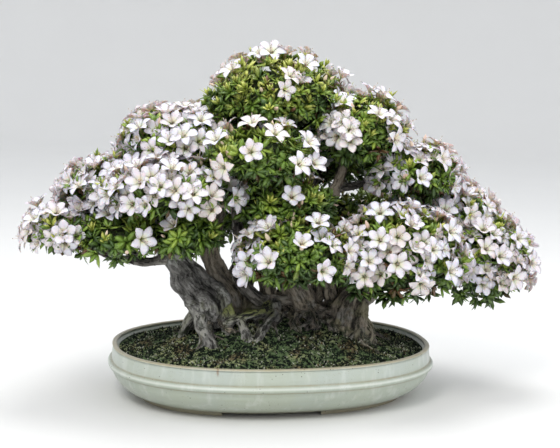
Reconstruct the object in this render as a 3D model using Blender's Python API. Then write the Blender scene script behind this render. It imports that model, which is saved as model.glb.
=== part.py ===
"""A satsuki azalea bonsai in bloom: an old multi-trunk tree with bare roots, standing in an
oval glazed pot. Metres, +Z up. It is laid out round the pot's centre, and then moved so that
the middle of the whole bonsai stands on the origin."""

import math

import bmesh
import bpy
import numpy as np
from mathutils import Vector
from mathutils.bvhtree import BVHTree

TURN = 2 * math.pi
GOLDEN_TURN = math.pi * (3 - math.sqrt(5))
FIT_GAP = 0.0003

# Pot: an oval of one exponent, whose rings are this far outside or inside the bead's oval
BEAD_HALF_LENGTH = 0.280
BEAD_HALF_WIDTH = 0.2125
OVAL_POWER = 2.26
POT_SEGMENTS = 32
POT_HEIGHT = 0.089
LIP_WIDTH = 0.009
FLOOR_HEIGHT = 0.018
FOOT_HEIGHT = 0.006
FOOT_WIDTH = 0.016
CUT_BELOW = -0.002
DRAIN_SIDES = 12
FRONT_SLOT_LENGTH = 0.160
END_SLOT_LENGTH = 0.090
SLOT_TURN = -0.176
DRAIN_RADIUS = 0.014
DRAIN_PLACES = (-0.110, 0.110)
POT_WALL_OFFSETS = (
    (-0.054, 0.000),
    (-0.052, 0.006),
    (-0.036, 0.013),
    (-0.021, 0.024),
    (-0.010, 0.038),
    (-0.0045, 0.0505),
    (-0.0008, 0.0530),
    (0.000, 0.0570),
    (-0.0012, 0.0605),
    (-0.0050, 0.0625),
    (-0.0080, 0.0840),
    (-0.0072, 0.0890),
)
RIM_OFFSET = POT_WALL_OFFSETS[-1][0]
INNER_TOP_OFFSET = RIM_OFFSET - LIP_WIDTH
INNER_FLOOR_OFFSET = -0.050

# Soil: it fills the pot and rises in a low mound under the tree
SOIL_EDGE_HEIGHT = 0.080
MOUND_HEIGHT = 0.138
MOUND_CENTRE = (0.030, 0.006)
MOUND_RINGS = (0.78, 0.48, 0.20)

# Wood: each run is a list of (x, y, z, radius)
TRUNK_SIDES = 7
BRANCH_SIDES = 5
ROOT_SIDES = 4
TRUNKS = {
    "left": (
        (-0.108, -0.022, 0.122, 0.019),
        (-0.112, -0.021, 0.148, 0.031),
        (-0.130, -0.020, 0.178, 0.027),
        (-0.150, -0.019, 0.205, 0.023),
        (-0.171, -0.016, 0.240, 0.018),
        (-0.190, -0.012, 0.280, 0.014),
        (-0.184, -0.010, 0.345, 0.010),
        (-0.180, -0.006, 0.405, 0.006),
    ),
    "leader": (
        (-0.046, 0.020, 0.078, 0.024),
        (-0.054, 0.018, 0.120, 0.022),
        (-0.067, 0.014, 0.150, 0.019),
        (-0.082, 0.012, 0.178, 0.017),
        (-0.098, 0.010, 0.205, 0.017),
        (-0.110, 0.010, 0.248, 0.015),
        (-0.092, 0.010, 0.320, 0.013),
        (-0.052, 0.008, 0.395, 0.011),
        (-0.016, 0.010, 0.470, 0.007),
    ),
    "middle": (
        (0.064, 0.004, 0.080, 0.030),
        (0.060, 0.000, 0.130, 0.028),
        (0.046, -0.002, 0.172, 0.021),
        (0.044, 0.000, 0.225, 0.017),
        (0.050, 0.000, 0.300, 0.013),
        (0.104, 0.000, 0.352, 0.010),
        (0.122, -0.010, 0.430, 0.006),
    ),
    "right": (
        (0.132, -0.034, 0.078, 0.026),
        (0.130, -0.038, 0.122, 0.031),
        (0.140, -0.030, 0.148, 0.024),
        (0.164, -0.010, 0.182, 0.017),
        (0.215, -0.006, 0.212, 0.013),
        (0.290, -0.012, 0.214, 0.010),
        (0.352, -0.018, 0.222, 0.006),
    ),
    "raft": (
        (-0.106, -0.014, 0.142, 0.018),
        (-0.060, 0.012, 0.128, 0.016),
        (-0.012, 0.002, 0.148, 0.017),
        (0.040, -0.002, 0.146, 0.019),
        (0.090, -0.016, 0.130, 0.019),
        (0.132, -0.036, 0.126, 0.020),
    ),
}
BRANCHES = {
    "left_low": (
        (-0.170, -0.016, 0.240, 0.011),
        (-0.246, -0.030, 0.236, 0.008),
        (-0.300, -0.034, 0.252, 0.006),
        (-0.345, -0.022, 0.272, 0.004),
    ),
    "left_middle": ((-0.188, -0.012, 0.285, 0.009), (-0.192, -0.072, 0.342, 0.005)),
    "centre": (
        (-0.006, 0.000, 0.152, 0.015),
        (-0.038, -0.004, 0.176, 0.012),
        (-0.058, -0.018, 0.206, 0.010),
        (-0.070, -0.046, 0.268, 0.009),
        (-0.080, -0.080, 0.335, 0.007),
        (-0.060, -0.104, 0.402, 0.004),
    ),
    "centre_leafy": ((0.048, 0.000, 0.268, 0.008), (-0.004, -0.038, 0.318, 0.005)),
    "front_low": (
        (0.044, -0.004, 0.178, 0.010),
        (0.026, -0.066, 0.222, 0.008),
        (0.014, -0.116, 0.256, 0.005),
    ),
    "right_middle": (
        (0.104, 0.000, 0.352, 0.008),
        (0.180, -0.004, 0.368, 0.006),
        (0.242, -0.010, 0.386, 0.004),
    ),
    "right_low": (
        (0.170, -0.008, 0.186, 0.011),
        (0.178, -0.056, 0.222, 0.008),
        (0.184, -0.100, 0.250, 0.005),
    ),
    "right_far": (
        (0.222, -0.006, 0.212, 0.009),
        (0.262, 0.010, 0.258, 0.007),
        (0.296, 0.020, 0.296, 0.004),
    ),
    "back_left": (
        (-0.174, -0.014, 0.248, 0.010),
        (-0.204, 0.050, 0.276, 0.008),
        (-0.224, 0.108, 0.310, 0.005),
    ),
    "back_low": (
        (-0.074, 0.014, 0.168, 0.011),
        (-0.044, 0.090, 0.228, 0.008),
        (-0.022, 0.154, 0.286, 0.005),
    ),
    "back_right": (
        (0.158, -0.008, 0.178, 0.010),
        (0.182, 0.072, 0.214, 0.008),
        (0.202, 0.132, 0.256, 0.005),
    ),
    "back_left_high": (
        (-0.092, 0.012, 0.318, 0.009),
        (-0.102, 0.066, 0.368, 0.007),
        (-0.112, 0.106, 0.412, 0.004),
    ),
    "back_right_high": (
        (0.050, 0.002, 0.292, 0.009),
        (0.082, 0.060, 0.346, 0.007),
        (0.112, 0.106, 0.392, 0.004),
    ),
}
ROOTS = (
    ((-0.132, -0.024, 0.148, 0.014), (-0.129, -0.052, 0.124, 0.009), (-0.127, -0.066, 0.112, 0.008),
     (-0.142, -0.084, 0.074, 0.005)),
    ((-0.128, -0.062, 0.116, 0.007), (-0.117, -0.082, 0.100, 0.006), (-0.112, -0.092, 0.074, 0.004)),
    ((-0.134, -0.016, 0.140, 0.010), (-0.152, -0.012, 0.110, 0.007), (-0.160, -0.002, 0.074, 0.005)),
    ((-0.116, -0.010, 0.140, 0.013), (-0.134, 0.020, 0.112, 0.010), (-0.146, 0.060, 0.072, 0.006)),
    ((-0.106, -0.018, 0.134, 0.015), (-0.100, -0.016, 0.108, 0.012), (-0.098, -0.012, 0.074, 0.009)),
    ((-0.096, -0.026, 0.144, 0.016), (-0.084, -0.034, 0.130, 0.012), (-0.078, -0.044, 0.076, 0.008)),
    ((-0.006, -0.010, 0.148, 0.010), (-0.025, -0.035, 0.146, 0.008), (-0.059, -0.046, 0.138, 0.007),
     (-0.088, -0.054, 0.131, 0.006)),
    ((-0.086, -0.052, 0.132, 0.006), (-0.087, -0.056, 0.112, 0.005), (-0.088, -0.058, 0.074, 0.004)),
    ((-0.066, -0.048, 0.136, 0.006), (-0.057, -0.065, 0.119, 0.008), (-0.054, -0.080, 0.106, 0.008),
     (-0.072, -0.094, 0.076, 0.006)),
    ((0.000, -0.010, 0.150, 0.011), (-0.004, -0.032, 0.134, 0.009), (-0.024, -0.056, 0.124, 0.007),
     (-0.040, -0.084, 0.108, 0.006), (-0.048, -0.104, 0.076, 0.004)),
    ((0.026, -0.012, 0.140, 0.012), (0.024, -0.056, 0.118, 0.009), (-0.002, -0.092, 0.076, 0.005)),
    ((0.060, -0.016, 0.136, 0.012), (0.060, -0.060, 0.116, 0.008), (0.050, -0.092, 0.076, 0.005)),
    ((0.116, -0.050, 0.124, 0.011), (0.108, -0.070, 0.112, 0.009), (0.114, -0.092, 0.076, 0.006)),
    ((0.130, -0.052, 0.120, 0.011), (0.131, -0.078, 0.104, 0.008), (0.124, -0.098, 0.076, 0.005)),
    ((0.144, -0.044, 0.126, 0.012), (0.157, -0.068, 0.108, 0.009), (0.134, -0.096, 0.076, 0.006)),
    ((0.104, -0.040, 0.124, 0.009), (0.088, -0.060, 0.114, 0.006), (0.080, -0.072, 0.076, 0.005)),
    ((-0.044, 0.030, 0.122, 0.013), (-0.046, 0.066, 0.100, 0.009), (-0.056, 0.100, 0.072, 0.006)),
    ((0.058, 0.018, 0.124, 0.013), (0.060, 0.058, 0.102, 0.009), (0.054, 0.098, 0.072, 0.006)),
    ((0.146, -0.018, 0.126, 0.013), (0.168, 0.036, 0.102, 0.009), (0.184, 0.080, 0.072, 0.006)),
)

# Foliage pads: centre, half sizes, share of the height that the underside keeps, space between
# blooms, lowest bloom as a share of the pad's height, and count of leaf whorls
PADS = {
    "crown": ((0.004, 0.010, 0.494), (0.112, 0.095, 0.074), 0.70, 0.064, 0.45, 11),
    "left_upper": ((-0.176, 0.000, 0.424), (0.074, 0.080, 0.050), 0.70, 0.047, -0.25, 4),
    "left_outer": ((-0.282, -0.004, 0.346), (0.062, 0.072, 0.042), 0.70, 0.046, -0.20, 3),
    "left_middle": ((-0.186, -0.092, 0.352), (0.094, 0.060, 0.044), 0.70, 0.046, -0.20, 5),
    "left_tip": ((-0.356, -0.024, 0.284), (0.050, 0.060, 0.038), 0.70, 0.046, -0.30, 4),
    "left_low": ((-0.268, -0.064, 0.274), (0.068, 0.060, 0.036), 0.75, 0.070, 0.00, 6),
    "left_inner": ((-0.158, -0.084, 0.282), (0.052, 0.046, 0.032), 0.80, 0.090, 0.20, 4),
    "centre": ((-0.050, -0.112, 0.408), (0.078, 0.056, 0.048), 0.75, 0.047, -0.20, 4),
    "centre_leafy": ((0.000, -0.070, 0.328), (0.084, 0.062, 0.040), 0.80, 0.080, 0.00, 6),
    "front_low": ((0.014, -0.134, 0.256), (0.086, 0.060, 0.052), 0.85, 0.050, -0.40, 6),
    "right_upper": ((0.142, -0.016, 0.450), (0.068, 0.080, 0.058), 0.70, 0.049, -0.20, 5),
    "right_middle": ((0.238, -0.010, 0.378), (0.068, 0.072, 0.048), 0.75, 0.048, -0.30, 4),
    "right_low": ((0.188, -0.120, 0.248), (0.096, 0.064, 0.074), 0.90, 0.047, -0.50, 7),
    "right_tip": ((0.366, -0.020, 0.224), (0.076, 0.074, 0.074), 0.90, 0.048, -0.45, 6),
    "right_far": ((0.306, 0.024, 0.308), (0.078, 0.072, 0.042), 0.80, 0.048, -0.25, 3),
    "back_left": ((-0.226, 0.108, 0.326), (0.104, 0.070, 0.052), 0.80, 0.057, -0.25, 5),
    "back_low": ((-0.020, 0.150, 0.298), (0.104, 0.068, 0.056), 0.85, 0.058, -0.35, 5),
    "back_right": ((0.206, 0.138, 0.262), (0.104, 0.070, 0.062), 0.85, 0.058, -0.35, 5),
    "back_left_high": ((-0.104, 0.112, 0.422), (0.080, 0.062, 0.050), 0.75, 0.057, -0.20, 4),
    "back_right_high": ((0.116, 0.112, 0.404), (0.084, 0.062, 0.052), 0.75, 0.057, -0.20, 4),
}
CORE_POINTS = 22
CORE_SHARE = 0.94
CORE_HOLLOWS = 0.10
CORE_SEAM = 0.10
CORE_SHRINKING = np.linspace(1.0, 0.2, 81)
HOLLOW_WAVES = (3, 4)
SEED = 4031

# Blooms: five pointed lobes round a funnel, which grows from a twig over the pad
BLOOM_RADIUS = 0.025
BLOOM_LOBES = 5
BLOOM_NOTCH = 0.42
TWIG_RADIUS = 0.0021
TWIG_HEIGHT = 0.0060
COLLAR_LENGTH = 0.0045
BLOOM_HEIGHTS = (0.017, 0.023, 0.014, 0.028)
BLOOM_FILL = 0.9
BLOOM_ROOM = 0.010
BLOOM_OUTWARD = 0.25
BLOOM_UPWARD = 0.20
BLOOM_TILT = 0.15
BLOOM_BACK_LIMIT = -0.55
BLOOM_TOP_LIMIT = 0.6
THROAT_DEPTH = 0.34
NOTCH_DEPTH = 0.12
TWIG_FORKS = 3
SPRAY_REACH = 0.120

# Leaves: whorls at the tips of short shoots, and tufts on the rest of a pad's surface
WHORL_LEAVES = 7
WHORL_RADIUS = 0.025
WHORL_HEIGHTS = (0.014, 0.009, 0.019)
WHORL_NOTCH = 0.26
WHORL_UPWARD = 0.25
WHORL_LIFTS = (-0.10, 0.35)
WHORL_LOWEST = -0.5
WHORL_CROWN = 0.04
SHOOT_RADIUS = 0.0020
TUFT_HEIGHT = 0.013
TUFT_LEAN = 0.45
TUFT_DRAWN_IN = 0.85
TUFT_OFF_FACE = 0.0006

# What one piece keeps clear of another: it is tested this much larger than it is made, and drawn
# in from its foot where it is tested against what it grows from
CLEARANCE = 1.03
DRAWN_IN = 0.35
TWIG_DRAWN_IN = 0.2

COLOURS = {
    "glaze": ((0.62, 0.66, 0.57, 1.0), 0.30),
    "moss": ((0.045, 0.060, 0.018, 1.0), 0.95),
    "bark": ((0.23, 0.19, 0.15, 1.0), 0.90),
    "leaf": ((0.060, 0.150, 0.022, 1.0), 0.45),
    "petal": ((0.90, 0.82, 0.85, 1.0), 0.60),
}


def clear_scene():
    for thing in list(bpy.data.objects):
        bpy.data.objects.remove(thing, do_unlink=True)


def material(name):
    """A plain Principled material with one of the bonsai's colours."""
    made = bpy.data.materials.get(name)
    if made is None:
        colour, roughness = COLOURS[name]
        made = bpy.data.materials.new(name)
        made.use_nodes = True
        shader = made.node_tree.nodes["Principled BSDF"]
        shader.inputs["Base Color"].default_value = colour
        shader.inputs["Roughness"].default_value = roughness
        shader.inputs["Metallic"].default_value = 0.0
    return made


def solid_object(name, solid, colour):
    """An object from (points, faces)."""
    points, faces = solid
    mesh = bpy.data.meshes.new(name)
    mesh.from_pydata([tuple(map(float, point)) for point in points], [], faces)
    mesh.materials.append(material(colour))
    made = bpy.data.objects.new(name, mesh)
    bpy.context.scene.collection.objects.link(made)
    return made


def apply_modifiers(body):
    """Keeps the mesh that the modifiers make, and drops the modifiers."""
    bpy.context.view_layer.update()
    graph = bpy.context.evaluated_depsgraph_get()
    mesh = bpy.data.meshes.new_from_object(body.evaluated_get(graph))
    body.modifiers.clear()
    body.data = mesh


def combine(body, operation, others, colour):
    """One Boolean of body with a collection of solids, applied, and the collection removed."""
    group = bpy.data.collections.new(body.name + "_repeats")
    bpy.context.scene.collection.children.link(group)
    for solid in others:
        part = solid_object(body.name + "_repeat", solid, colour)
        bpy.context.scene.collection.objects.unlink(part)
        group.objects.link(part)
    boolean = body.modifiers.new(operation.title(), "BOOLEAN")
    boolean.operation = operation
    boolean.operand_type = "COLLECTION"
    boolean.collection = group
    boolean.solver = "EXACT"
    apply_modifiers(body)
    for part in list(group.objects):
        bpy.data.objects.remove(part, do_unlink=True)
    bpy.data.collections.remove(group)


def keep_largest(body):
    """Drops the loose scraps that a cut leaves. Two faces that share an edge are one body, and
    an edge with four faces is where a scrap only touches."""
    mesh = body.data
    links = list(range(len(mesh.polygons)))

    def root(index):
        while links[index] != index:
            links[index] = links[links[index]]
            index = links[index]
        return index

    faces_at = {}
    for face in mesh.polygons:
        for edge in face.edge_keys:
            faces_at.setdefault(edge, []).append(face.index)
    for pair in faces_at.values():
        if len(pair) == 2:
            links[root(pair[0])] = root(pair[1])
    groups = [root(index) for index in range(len(links))]
    largest = max(sorted(set(groups)), key=groups.count)
    faces = [tuple(face.vertices) for face, group in zip(mesh.polygons, groups) if group == largest]
    used = sorted({index for face in faces for index in face})
    place = {old: new for new, old in enumerate(used)}
    points = [mesh.vertices[index].co for index in used]
    kept = bpy.data.meshes.new(mesh.name)
    kept.from_pydata(points, [], [[place[index] for index in face] for face in faces])
    kept.materials.append(mesh.materials[0])
    body.data = kept


def solid_of(body):
    """(points, faces) of an object whose modifiers are applied."""
    mesh = body.data
    points = np.array([vertex.co for vertex in mesh.vertices])
    return points, [tuple(face.vertices) for face in mesh.polygons]


def unit(vector):
    return vector / np.linalg.norm(vector)


def square_to(way):
    """A unit vector square to the unit vector way."""
    helper = np.array((0.0, 0.0, 1.0)) if abs(way[2]) < 0.9 else np.array((1.0, 0.0, 0.0))
    return unit(np.cross(helper, way))


def strips(rings, sides):
    """Triangles between each ring of points and the next one up."""
    faces = []
    for ring in range(rings - 1):
        for step in range(sides):
            low, low_next = ring * sides + step, ring * sides + (step + 1) % sides
            faces.append((low, low_next, low_next + sides))
            faces.append((low, low_next + sides, low + sides))
    return faces


def tube(route, radii, sides):
    """A closed tube: a ring of points square to the route at each of its points, and flat ends."""
    route = np.asarray(route, float)
    runs = np.diff(route, axis=0)
    runs /= np.linalg.norm(runs, axis=1)[:, None]
    ways = np.vstack((runs[:1], runs[:-1] + runs[1:], runs[-1:]))
    side = square_to(unit(ways[0]))
    points = []
    for place, way, radius in zip(route, ways, radii):
        way = unit(way)
        side = unit(side - way * (side @ way))
        other = np.cross(way, side)
        for turn in np.arange(sides) * TURN / sides:
            points.append(place + radius * (math.cos(turn) * side + math.sin(turn) * other))
    last = len(points) - sides
    caps = [tuple(range(sides))[::-1], tuple(range(last, last + sides))]
    return np.array(points), caps + strips(len(route), sides)


def wood_tube(run, sides, gap=0.0):
    """A trunk, branch or root. With a gap it is the hole that such a piece stands in."""
    run = np.asarray(run, float)
    route = run[:, :3].copy()
    route[0] -= gap * unit(route[1] - route[0])
    route[-1] += gap * unit(route[-1] - route[-2])
    return tube(route, run[:, 3] + gap / math.cos(math.pi / sides), sides)


def wood_solids(gap=0.0):
    solids = [wood_tube(run, TRUNK_SIDES, gap) for run in TRUNKS.values()]
    solids += [wood_tube(run, BRANCH_SIDES, gap) for run in BRANCHES.values()]
    solids += [wood_tube(run, ROOT_SIDES, gap) for run in ROOTS]
    return solids


def oval(offset, height):
    """A ring of points on the pot's oval, moved in or out by offset."""
    turns = np.arange(POT_SEGMENTS) * TURN / POT_SEGMENTS
    across, along = np.sin(turns), np.cos(turns)
    power = 2 / OVAL_POWER
    return np.stack(
        (
            (BEAD_HALF_LENGTH + offset) * np.sign(along) * np.abs(along) ** power,
            (BEAD_HALF_WIDTH + offset) * np.sign(across) * np.abs(across) ** power,
            np.full(POT_SEGMENTS, height),
        ),
        axis=1,
    )


def loft(rings):
    """A closed solid through the rings, from its flat bottom to its flat top."""
    last = POT_SEGMENTS * (len(rings) - 1)
    caps = [tuple(range(POT_SEGMENTS))[::-1], tuple(range(last, last + POT_SEGMENTS))]
    return np.vstack(rings), caps + strips(len(rings), POT_SEGMENTS)


def slot(half_x, half_y):
    """A box under the foot, turned a little from the pot's length as the slots are."""
    cos, sin = math.cos(SLOT_TURN), math.sin(SLOT_TURN)
    corners = np.array([
        (x * cos - y * sin, x * sin + y * cos, z) for z in (CUT_BELOW, FOOT_HEIGHT) for x, y in (
            (-half_x, -half_y), (half_x, -half_y), (half_x, half_y), (-half_x, half_y))])
    return corners, [(3, 2, 1, 0), (4, 5, 6, 7)] + strips(2, 4)


def make_pot():
    """The outer wall up to the lip, the inner wall down to the floor, then slots and drain holes."""
    rings = [oval(offset, height) for offset, height in POT_WALL_OFFSETS]
    rings.append(oval(INNER_TOP_OFFSET, POT_HEIGHT))
    rings.append(oval(INNER_FLOOR_OFFSET, FLOOR_HEIGHT))
    pot = solid_object("pot", loft(rings), "glaze")
    foot_offset = POT_WALL_OFFSETS[0][0]
    hollow = [oval(foot_offset - FOOT_WIDTH, height) for height in (CUT_BELOW, FOOT_HEIGHT)]
    cutters = [
        loft(hollow),
        slot(FRONT_SLOT_LENGTH / 2, BEAD_HALF_WIDTH),
        slot(BEAD_HALF_LENGTH, END_SLOT_LENGTH / 2),
    ]
    for place in DRAIN_PLACES:
        route = ((place, 0.0, CUT_BELOW), (place, 0.0, FLOOR_HEIGHT - CUT_BELOW))
        cutters.append(tube(route, (DRAIN_RADIUS, DRAIN_RADIUS), DRAIN_SIDES))
    combine(pot, "DIFFERENCE", cutters, "glaze")
    return pot


def make_soil():
    """Fills the pot to just under the rim, and rises in a mound with holes for trunks and roots."""
    slope = (INNER_TOP_OFFSET - INNER_FLOOR_OFFSET) / (POT_HEIGHT - FLOOR_HEIGHT)
    edge_offset = INNER_FLOOR_OFFSET + slope * (SOIL_EDGE_HEIGHT - FLOOR_HEIGHT)
    rings = [
        oval(INNER_FLOOR_OFFSET - FIT_GAP, FLOOR_HEIGHT + FIT_GAP),
        oval(edge_offset - 2 * FIT_GAP, SOIL_EDGE_HEIGHT),
    ]
    centre = np.array((*MOUND_CENTRE, 0.0))
    for share in MOUND_RINGS:
        ring = centre + (rings[1] - centre) * share
        ring[:, 2] = SOIL_EDGE_HEIGHT + (MOUND_HEIGHT - SOIL_EDGE_HEIGHT) * (1 - share**2) ** 2
        rings.append(ring)
    soil = solid_object("soil", loft(rings), "moss")
    combine(soil, "DIFFERENCE", wood_solids(FIT_GAP), "moss")
    keep_largest(soil)
    return soil


def make_tree():
    """The trunks, branches and roots, which have grown together into one piece of wood."""
    first, *rest = wood_solids()
    tree = solid_object("tree", first, "bark")
    combine(tree, "UNION", rest, "bark")
    return tree


def pad_shape(pad):
    """A pad's centre and half sizes, and those of its flatter underside."""
    centre, half, below, *_ = PADS[pad]
    return np.array(centre), np.array(half), np.array(half) * (1.0, 1.0, below)


def pad_surface(pad, ways, lift=0.0):
    """Points of a pad's smooth surface in the directions ways, lifted along its normals."""
    centre, half, under = pad_shape(pad)
    stretch = np.where(ways[:, 2:] < 0, under, half)
    normals = ways / stretch
    normals /= np.linalg.norm(normals, axis=1)[:, None]
    return centre + ways * stretch + normals * lift, normals


def depth_in(pad, points, margin=0.0):
    """How far out points are in a pad: 0 at its centre and 1 on its surface."""
    centre, half, under = pad_shape(pad)
    away = points - centre
    return np.linalg.norm(away / (np.where(away[:, 2:] < 0, under, half) + margin), axis=1)


def spread(count, phase):
    """Directions spread evenly over a sphere, each a golden turn from the last."""
    steps = np.arange(count)
    heights = 1 - (2 * steps + 1) / count
    turns = steps * GOLDEN_TURN + phase
    widths = np.sqrt(1 - heights**2)
    return np.stack((widths * np.cos(turns), widths * np.sin(turns), heights), axis=1)


def pad_core(pad, phase):
    """The dense twigs inside a pad: a lumpy body that the leaves stand out of. Where pads meet,
    each keeps to its own side of the seam between them."""
    ways = spread(CORE_POINTS, phase)
    turns = np.arctan2(ways[:, 1], ways[:, 0])
    round_wave, tall_wave = HOLLOW_WAVES
    waves = np.sin(round_wave * turns + phase) * np.cos(tall_wave * ways[:, 2] + phase)
    hollows = 0.5 + 0.5 * waves
    surface, _ = pad_surface(pad, ways)
    centre = np.array(PADS[pad][0])
    shares = CORE_SHARE * (1 - CORE_HOLLOWS * hollows)
    for index, arm in enumerate(surface - centre):
        tries = centre + arm * (shares[index] * CORE_SHRINKING)[:, None]
        own = depth_in(pad, tries) + CORE_SEAM
        fits = np.all([own < depth_in(other, tries) for other in PADS if other != pad], axis=0)
        shares[index] *= CORE_SHRINKING[fits.argmax()]
    return centre + (surface - centre) * shares[:, None], round_faces(ways)


def round_faces(ways):
    """Triangles that join directions into a ball, as their convex hull does."""
    ball = bmesh.new()
    for way in ways:
        ball.verts.new(way)
    ball.verts.index_update()
    bmesh.ops.convex_hull(ball, input=ball.verts)
    bmesh.ops.triangulate(ball, faces=ball.faces)
    bmesh.ops.recalc_face_normals(ball, faces=ball.faces)
    faces = [tuple(vertex.index for vertex in face.verts) for face in ball.faces]
    ball.free()
    return faces


class Shell:
    """A closed surface of triangles that grows: a triangle is pushed out, or made a star."""

    def __init__(self, points, faces):
        self.points = [np.array(point) for point in points]
        self.faces = [tuple(face) for face in faces]

    def add(self, points):
        first = len(self.points)
        self.points += list(points)
        return list(range(first, first + len(points)))

    def centre(self, face):
        return np.mean([self.points[index] for index in face], axis=0)

    def normal(self, face):
        first, second, third = (self.points[index] for index in face)
        return unit(np.cross(second - first, third - first))

    def extrude(self, face, corners):
        """Pushes a triangle out to three new corners, and returns the sides and the new end."""
        self.faces.remove(face)
        end = self.add(match(np.array([self.points[index] for index in face]), corners))
        sides = []
        for step in range(3):
            after = (step + 1) % 3
            sides.append((face[step], face[after], end[after]))
            sides.append((face[step], end[after], end[step]))
        self.faces += sides + [tuple(end)]
        return sides, tuple(end)

    def spike(self, face, tip):
        self.faces.remove(face)
        (top,) = self.add([tip])
        self.faces += [(face[step], face[(step + 1) % 3], top) for step in range(3)]

    def flare(self, face, outline, middle, axis):
        """Opens a triangle into a star: its underside runs out to the outline, and its top runs
        back in to the middle."""
        self.faces.remove(face)
        ring = self.add(outline)
        (top,) = self.add([middle])
        self.faces += [
            tuple(ring[index] if kind else face[index] for kind, index in corner)
            for corner in underside(np.array([self.points[index] for index in face]), outline, axis)
        ]
        count = len(ring)
        self.faces += [(ring[step], ring[(step + 1) % count], top) for step in range(count)]

    def solid(self):
        return np.array(self.points), self.faces


def match(old, new):
    """The new corners, started at the one that twists the prism between them least."""
    old_shape, new_shape = old - old.mean(axis=0), new - new.mean(axis=0)
    twists = [np.linalg.norm(old_shape - np.roll(new_shape, step, axis=0)) for step in range(3)]
    return np.roll(new, int(np.argmin(twists)), axis=0)


def underside(corners, outline, axis):
    """Triangles between a triangle and an outline round the same axis, as (kind, index) corners
    where kind 0 is the triangle and 1 is the outline."""
    side = square_to(axis)
    other = np.cross(axis, side)
    middle = corners.mean(axis=0)

    def turns(points):
        return np.arctan2((points - middle) @ other, (points - middle) @ side)

    corner_turns = turns(corners)
    count = len(outline)
    halfway = turns((outline + np.roll(outline, -1, axis=0)) / 2)
    apart = np.abs((halfway[:, None] - corner_turns + math.pi) % TURN - math.pi)
    nearest = apart.argmin(axis=1)
    found = []
    for step in range(count):
        after = (step + 1) % count
        here, following = int(nearest[step]), int(nearest[after])
        found.append(((0, here), (1, after), (1, step)))
        while here != following:
            beyond = (here + 1) % 3
            found.append(((0, here), (0, beyond), (1, after)))
            here = beyond
    return found


def ring_at(place, way, up, radius):
    """Three points round a place, square to way, with a flat side towards up."""
    side = unit(np.cross(way, up))
    up = np.cross(side, way)
    turns = np.radians((30, 150, 270))
    return np.array([place + radius * (math.cos(t) * side + math.sin(t) * up) for t in turns])[::-1]


def star_outline(place, axis, spin, corners):
    """Points round an axis through a place, from a list of (turn, radius, height)."""
    side = square_to(axis)
    other = np.cross(axis, side)
    return np.array(
        [
            place
            + radius * (math.cos(turn + spin) * side + math.sin(turn + spin) * other)
            + height * axis
            for turn, radius, height in corners
        ]
    )


def bloom_shape(site, axis, spin, height, size):
    """The outline and the throat of a funnel with five lobes, its mouth at a height."""
    radius = BLOOM_RADIUS * size
    lobe = TURN / BLOOM_LOBES
    corners = []
    for step in range(BLOOM_LOBES):
        turn = step * lobe
        corners.append((turn - lobe / 2, BLOOM_NOTCH * radius, height - NOTCH_DEPTH * radius))
        corners.append((turn, radius, height))
    throat = site + (height - THROAT_DEPTH * radius) * axis
    return star_outline(site, axis, spin, corners), throat


def whorl_shape(site, axis, spin, height, lifts):
    """The outline and the middle of narrow leaves, each lifted or drooping by its own share."""
    leaf = TURN / WHORL_LEAVES
    corners = []
    for step, lift in enumerate(lifts):
        turn = step * leaf
        corners.append((turn - leaf / 2, WHORL_NOTCH * WHORL_RADIUS, height))
        corners.append((turn, WHORL_RADIUS, height + lift * WHORL_RADIUS))
    middle = site + (height + WHORL_CROWN * WHORL_RADIUS) * axis
    return star_outline(site, axis, spin, corners), middle


def tree_of(solid):
    """A search tree for crossings with this solid's faces."""
    points, faces = solid
    return BVHTree.FromPolygons([Vector(point) for point in points], faces)


def is_clear(solid, trees, size=CLEARANCE):
    points, faces = solid
    middle = points.mean(axis=0)
    found = tree_of((middle + (points - middle) * size, faces))
    return not any(found.overlap(other) for other in trees)


def star_solid(foot, outline, middle, axis, drawn_in):
    """A star alone, to test what it would cross. It may be drawn in from its foot by a share."""
    start = foot + drawn_in * (outline.mean(axis=0) - foot)
    base = ring_at(start, axis, square_to(axis), TWIG_RADIUS * (1 - drawn_in))
    shell = Shell(base, [(0, 1, 2), (2, 1, 0)])
    upward = next(face for face in shell.faces if shell.normal(face) @ axis > 0)
    shell.flare(upward, outline, middle, axis)
    return shell.solid()


def twig_solid(start, end, drawn_in):
    """A twig alone, to test what it would cross. It may be drawn in from its ends by a share."""
    route = (start + drawn_in * (end - start), end + 0.5 * drawn_in * (start - end))
    return tube(route, [TWIG_RADIUS + 2 * FIT_GAP] * 2, 3)


def bloom_sites(pad, rng):
    """Sites on a pad's open sides, each with the pad's normal and the bloom's own axis."""
    _, half, _, spacing, lowest, _ = PADS[pad]
    area = 4 * math.pi * (np.mean(np.outer(half, half)[np.triu_indices(3, 1)]))
    ways = spread(max(6, round(area / (BLOOM_FILL * spacing**2))), rng.uniform(0, TURN))
    ways = ways[ways[:, 2] > lowest]
    points, normals = pad_surface(pad, ways, TWIG_HEIGHT)
    outward = points * (1.0, 1.0, 0.0)
    outward /= np.linalg.norm(outward, axis=1)[:, None]
    others = [depth_in(other, points, BLOOM_ROOM) for other in PADS if other != pad]
    free = np.all(np.array(others) > 1, axis=0)
    sites = []
    for point, normal, away, is_free in zip(points, normals, outward, free):
        hidden = normal @ away < BLOOM_BACK_LIMIT and normal[2] < BLOOM_TOP_LIMIT
        tilt = rng.uniform(-BLOOM_TILT, BLOOM_TILT, 3)
        if is_free and not hidden:
            axis = unit(normal + BLOOM_OUTWARD * away + (0, 0, BLOOM_UPWARD) + tilt)
            sites.append((point, normal, axis))
    return sites


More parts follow.
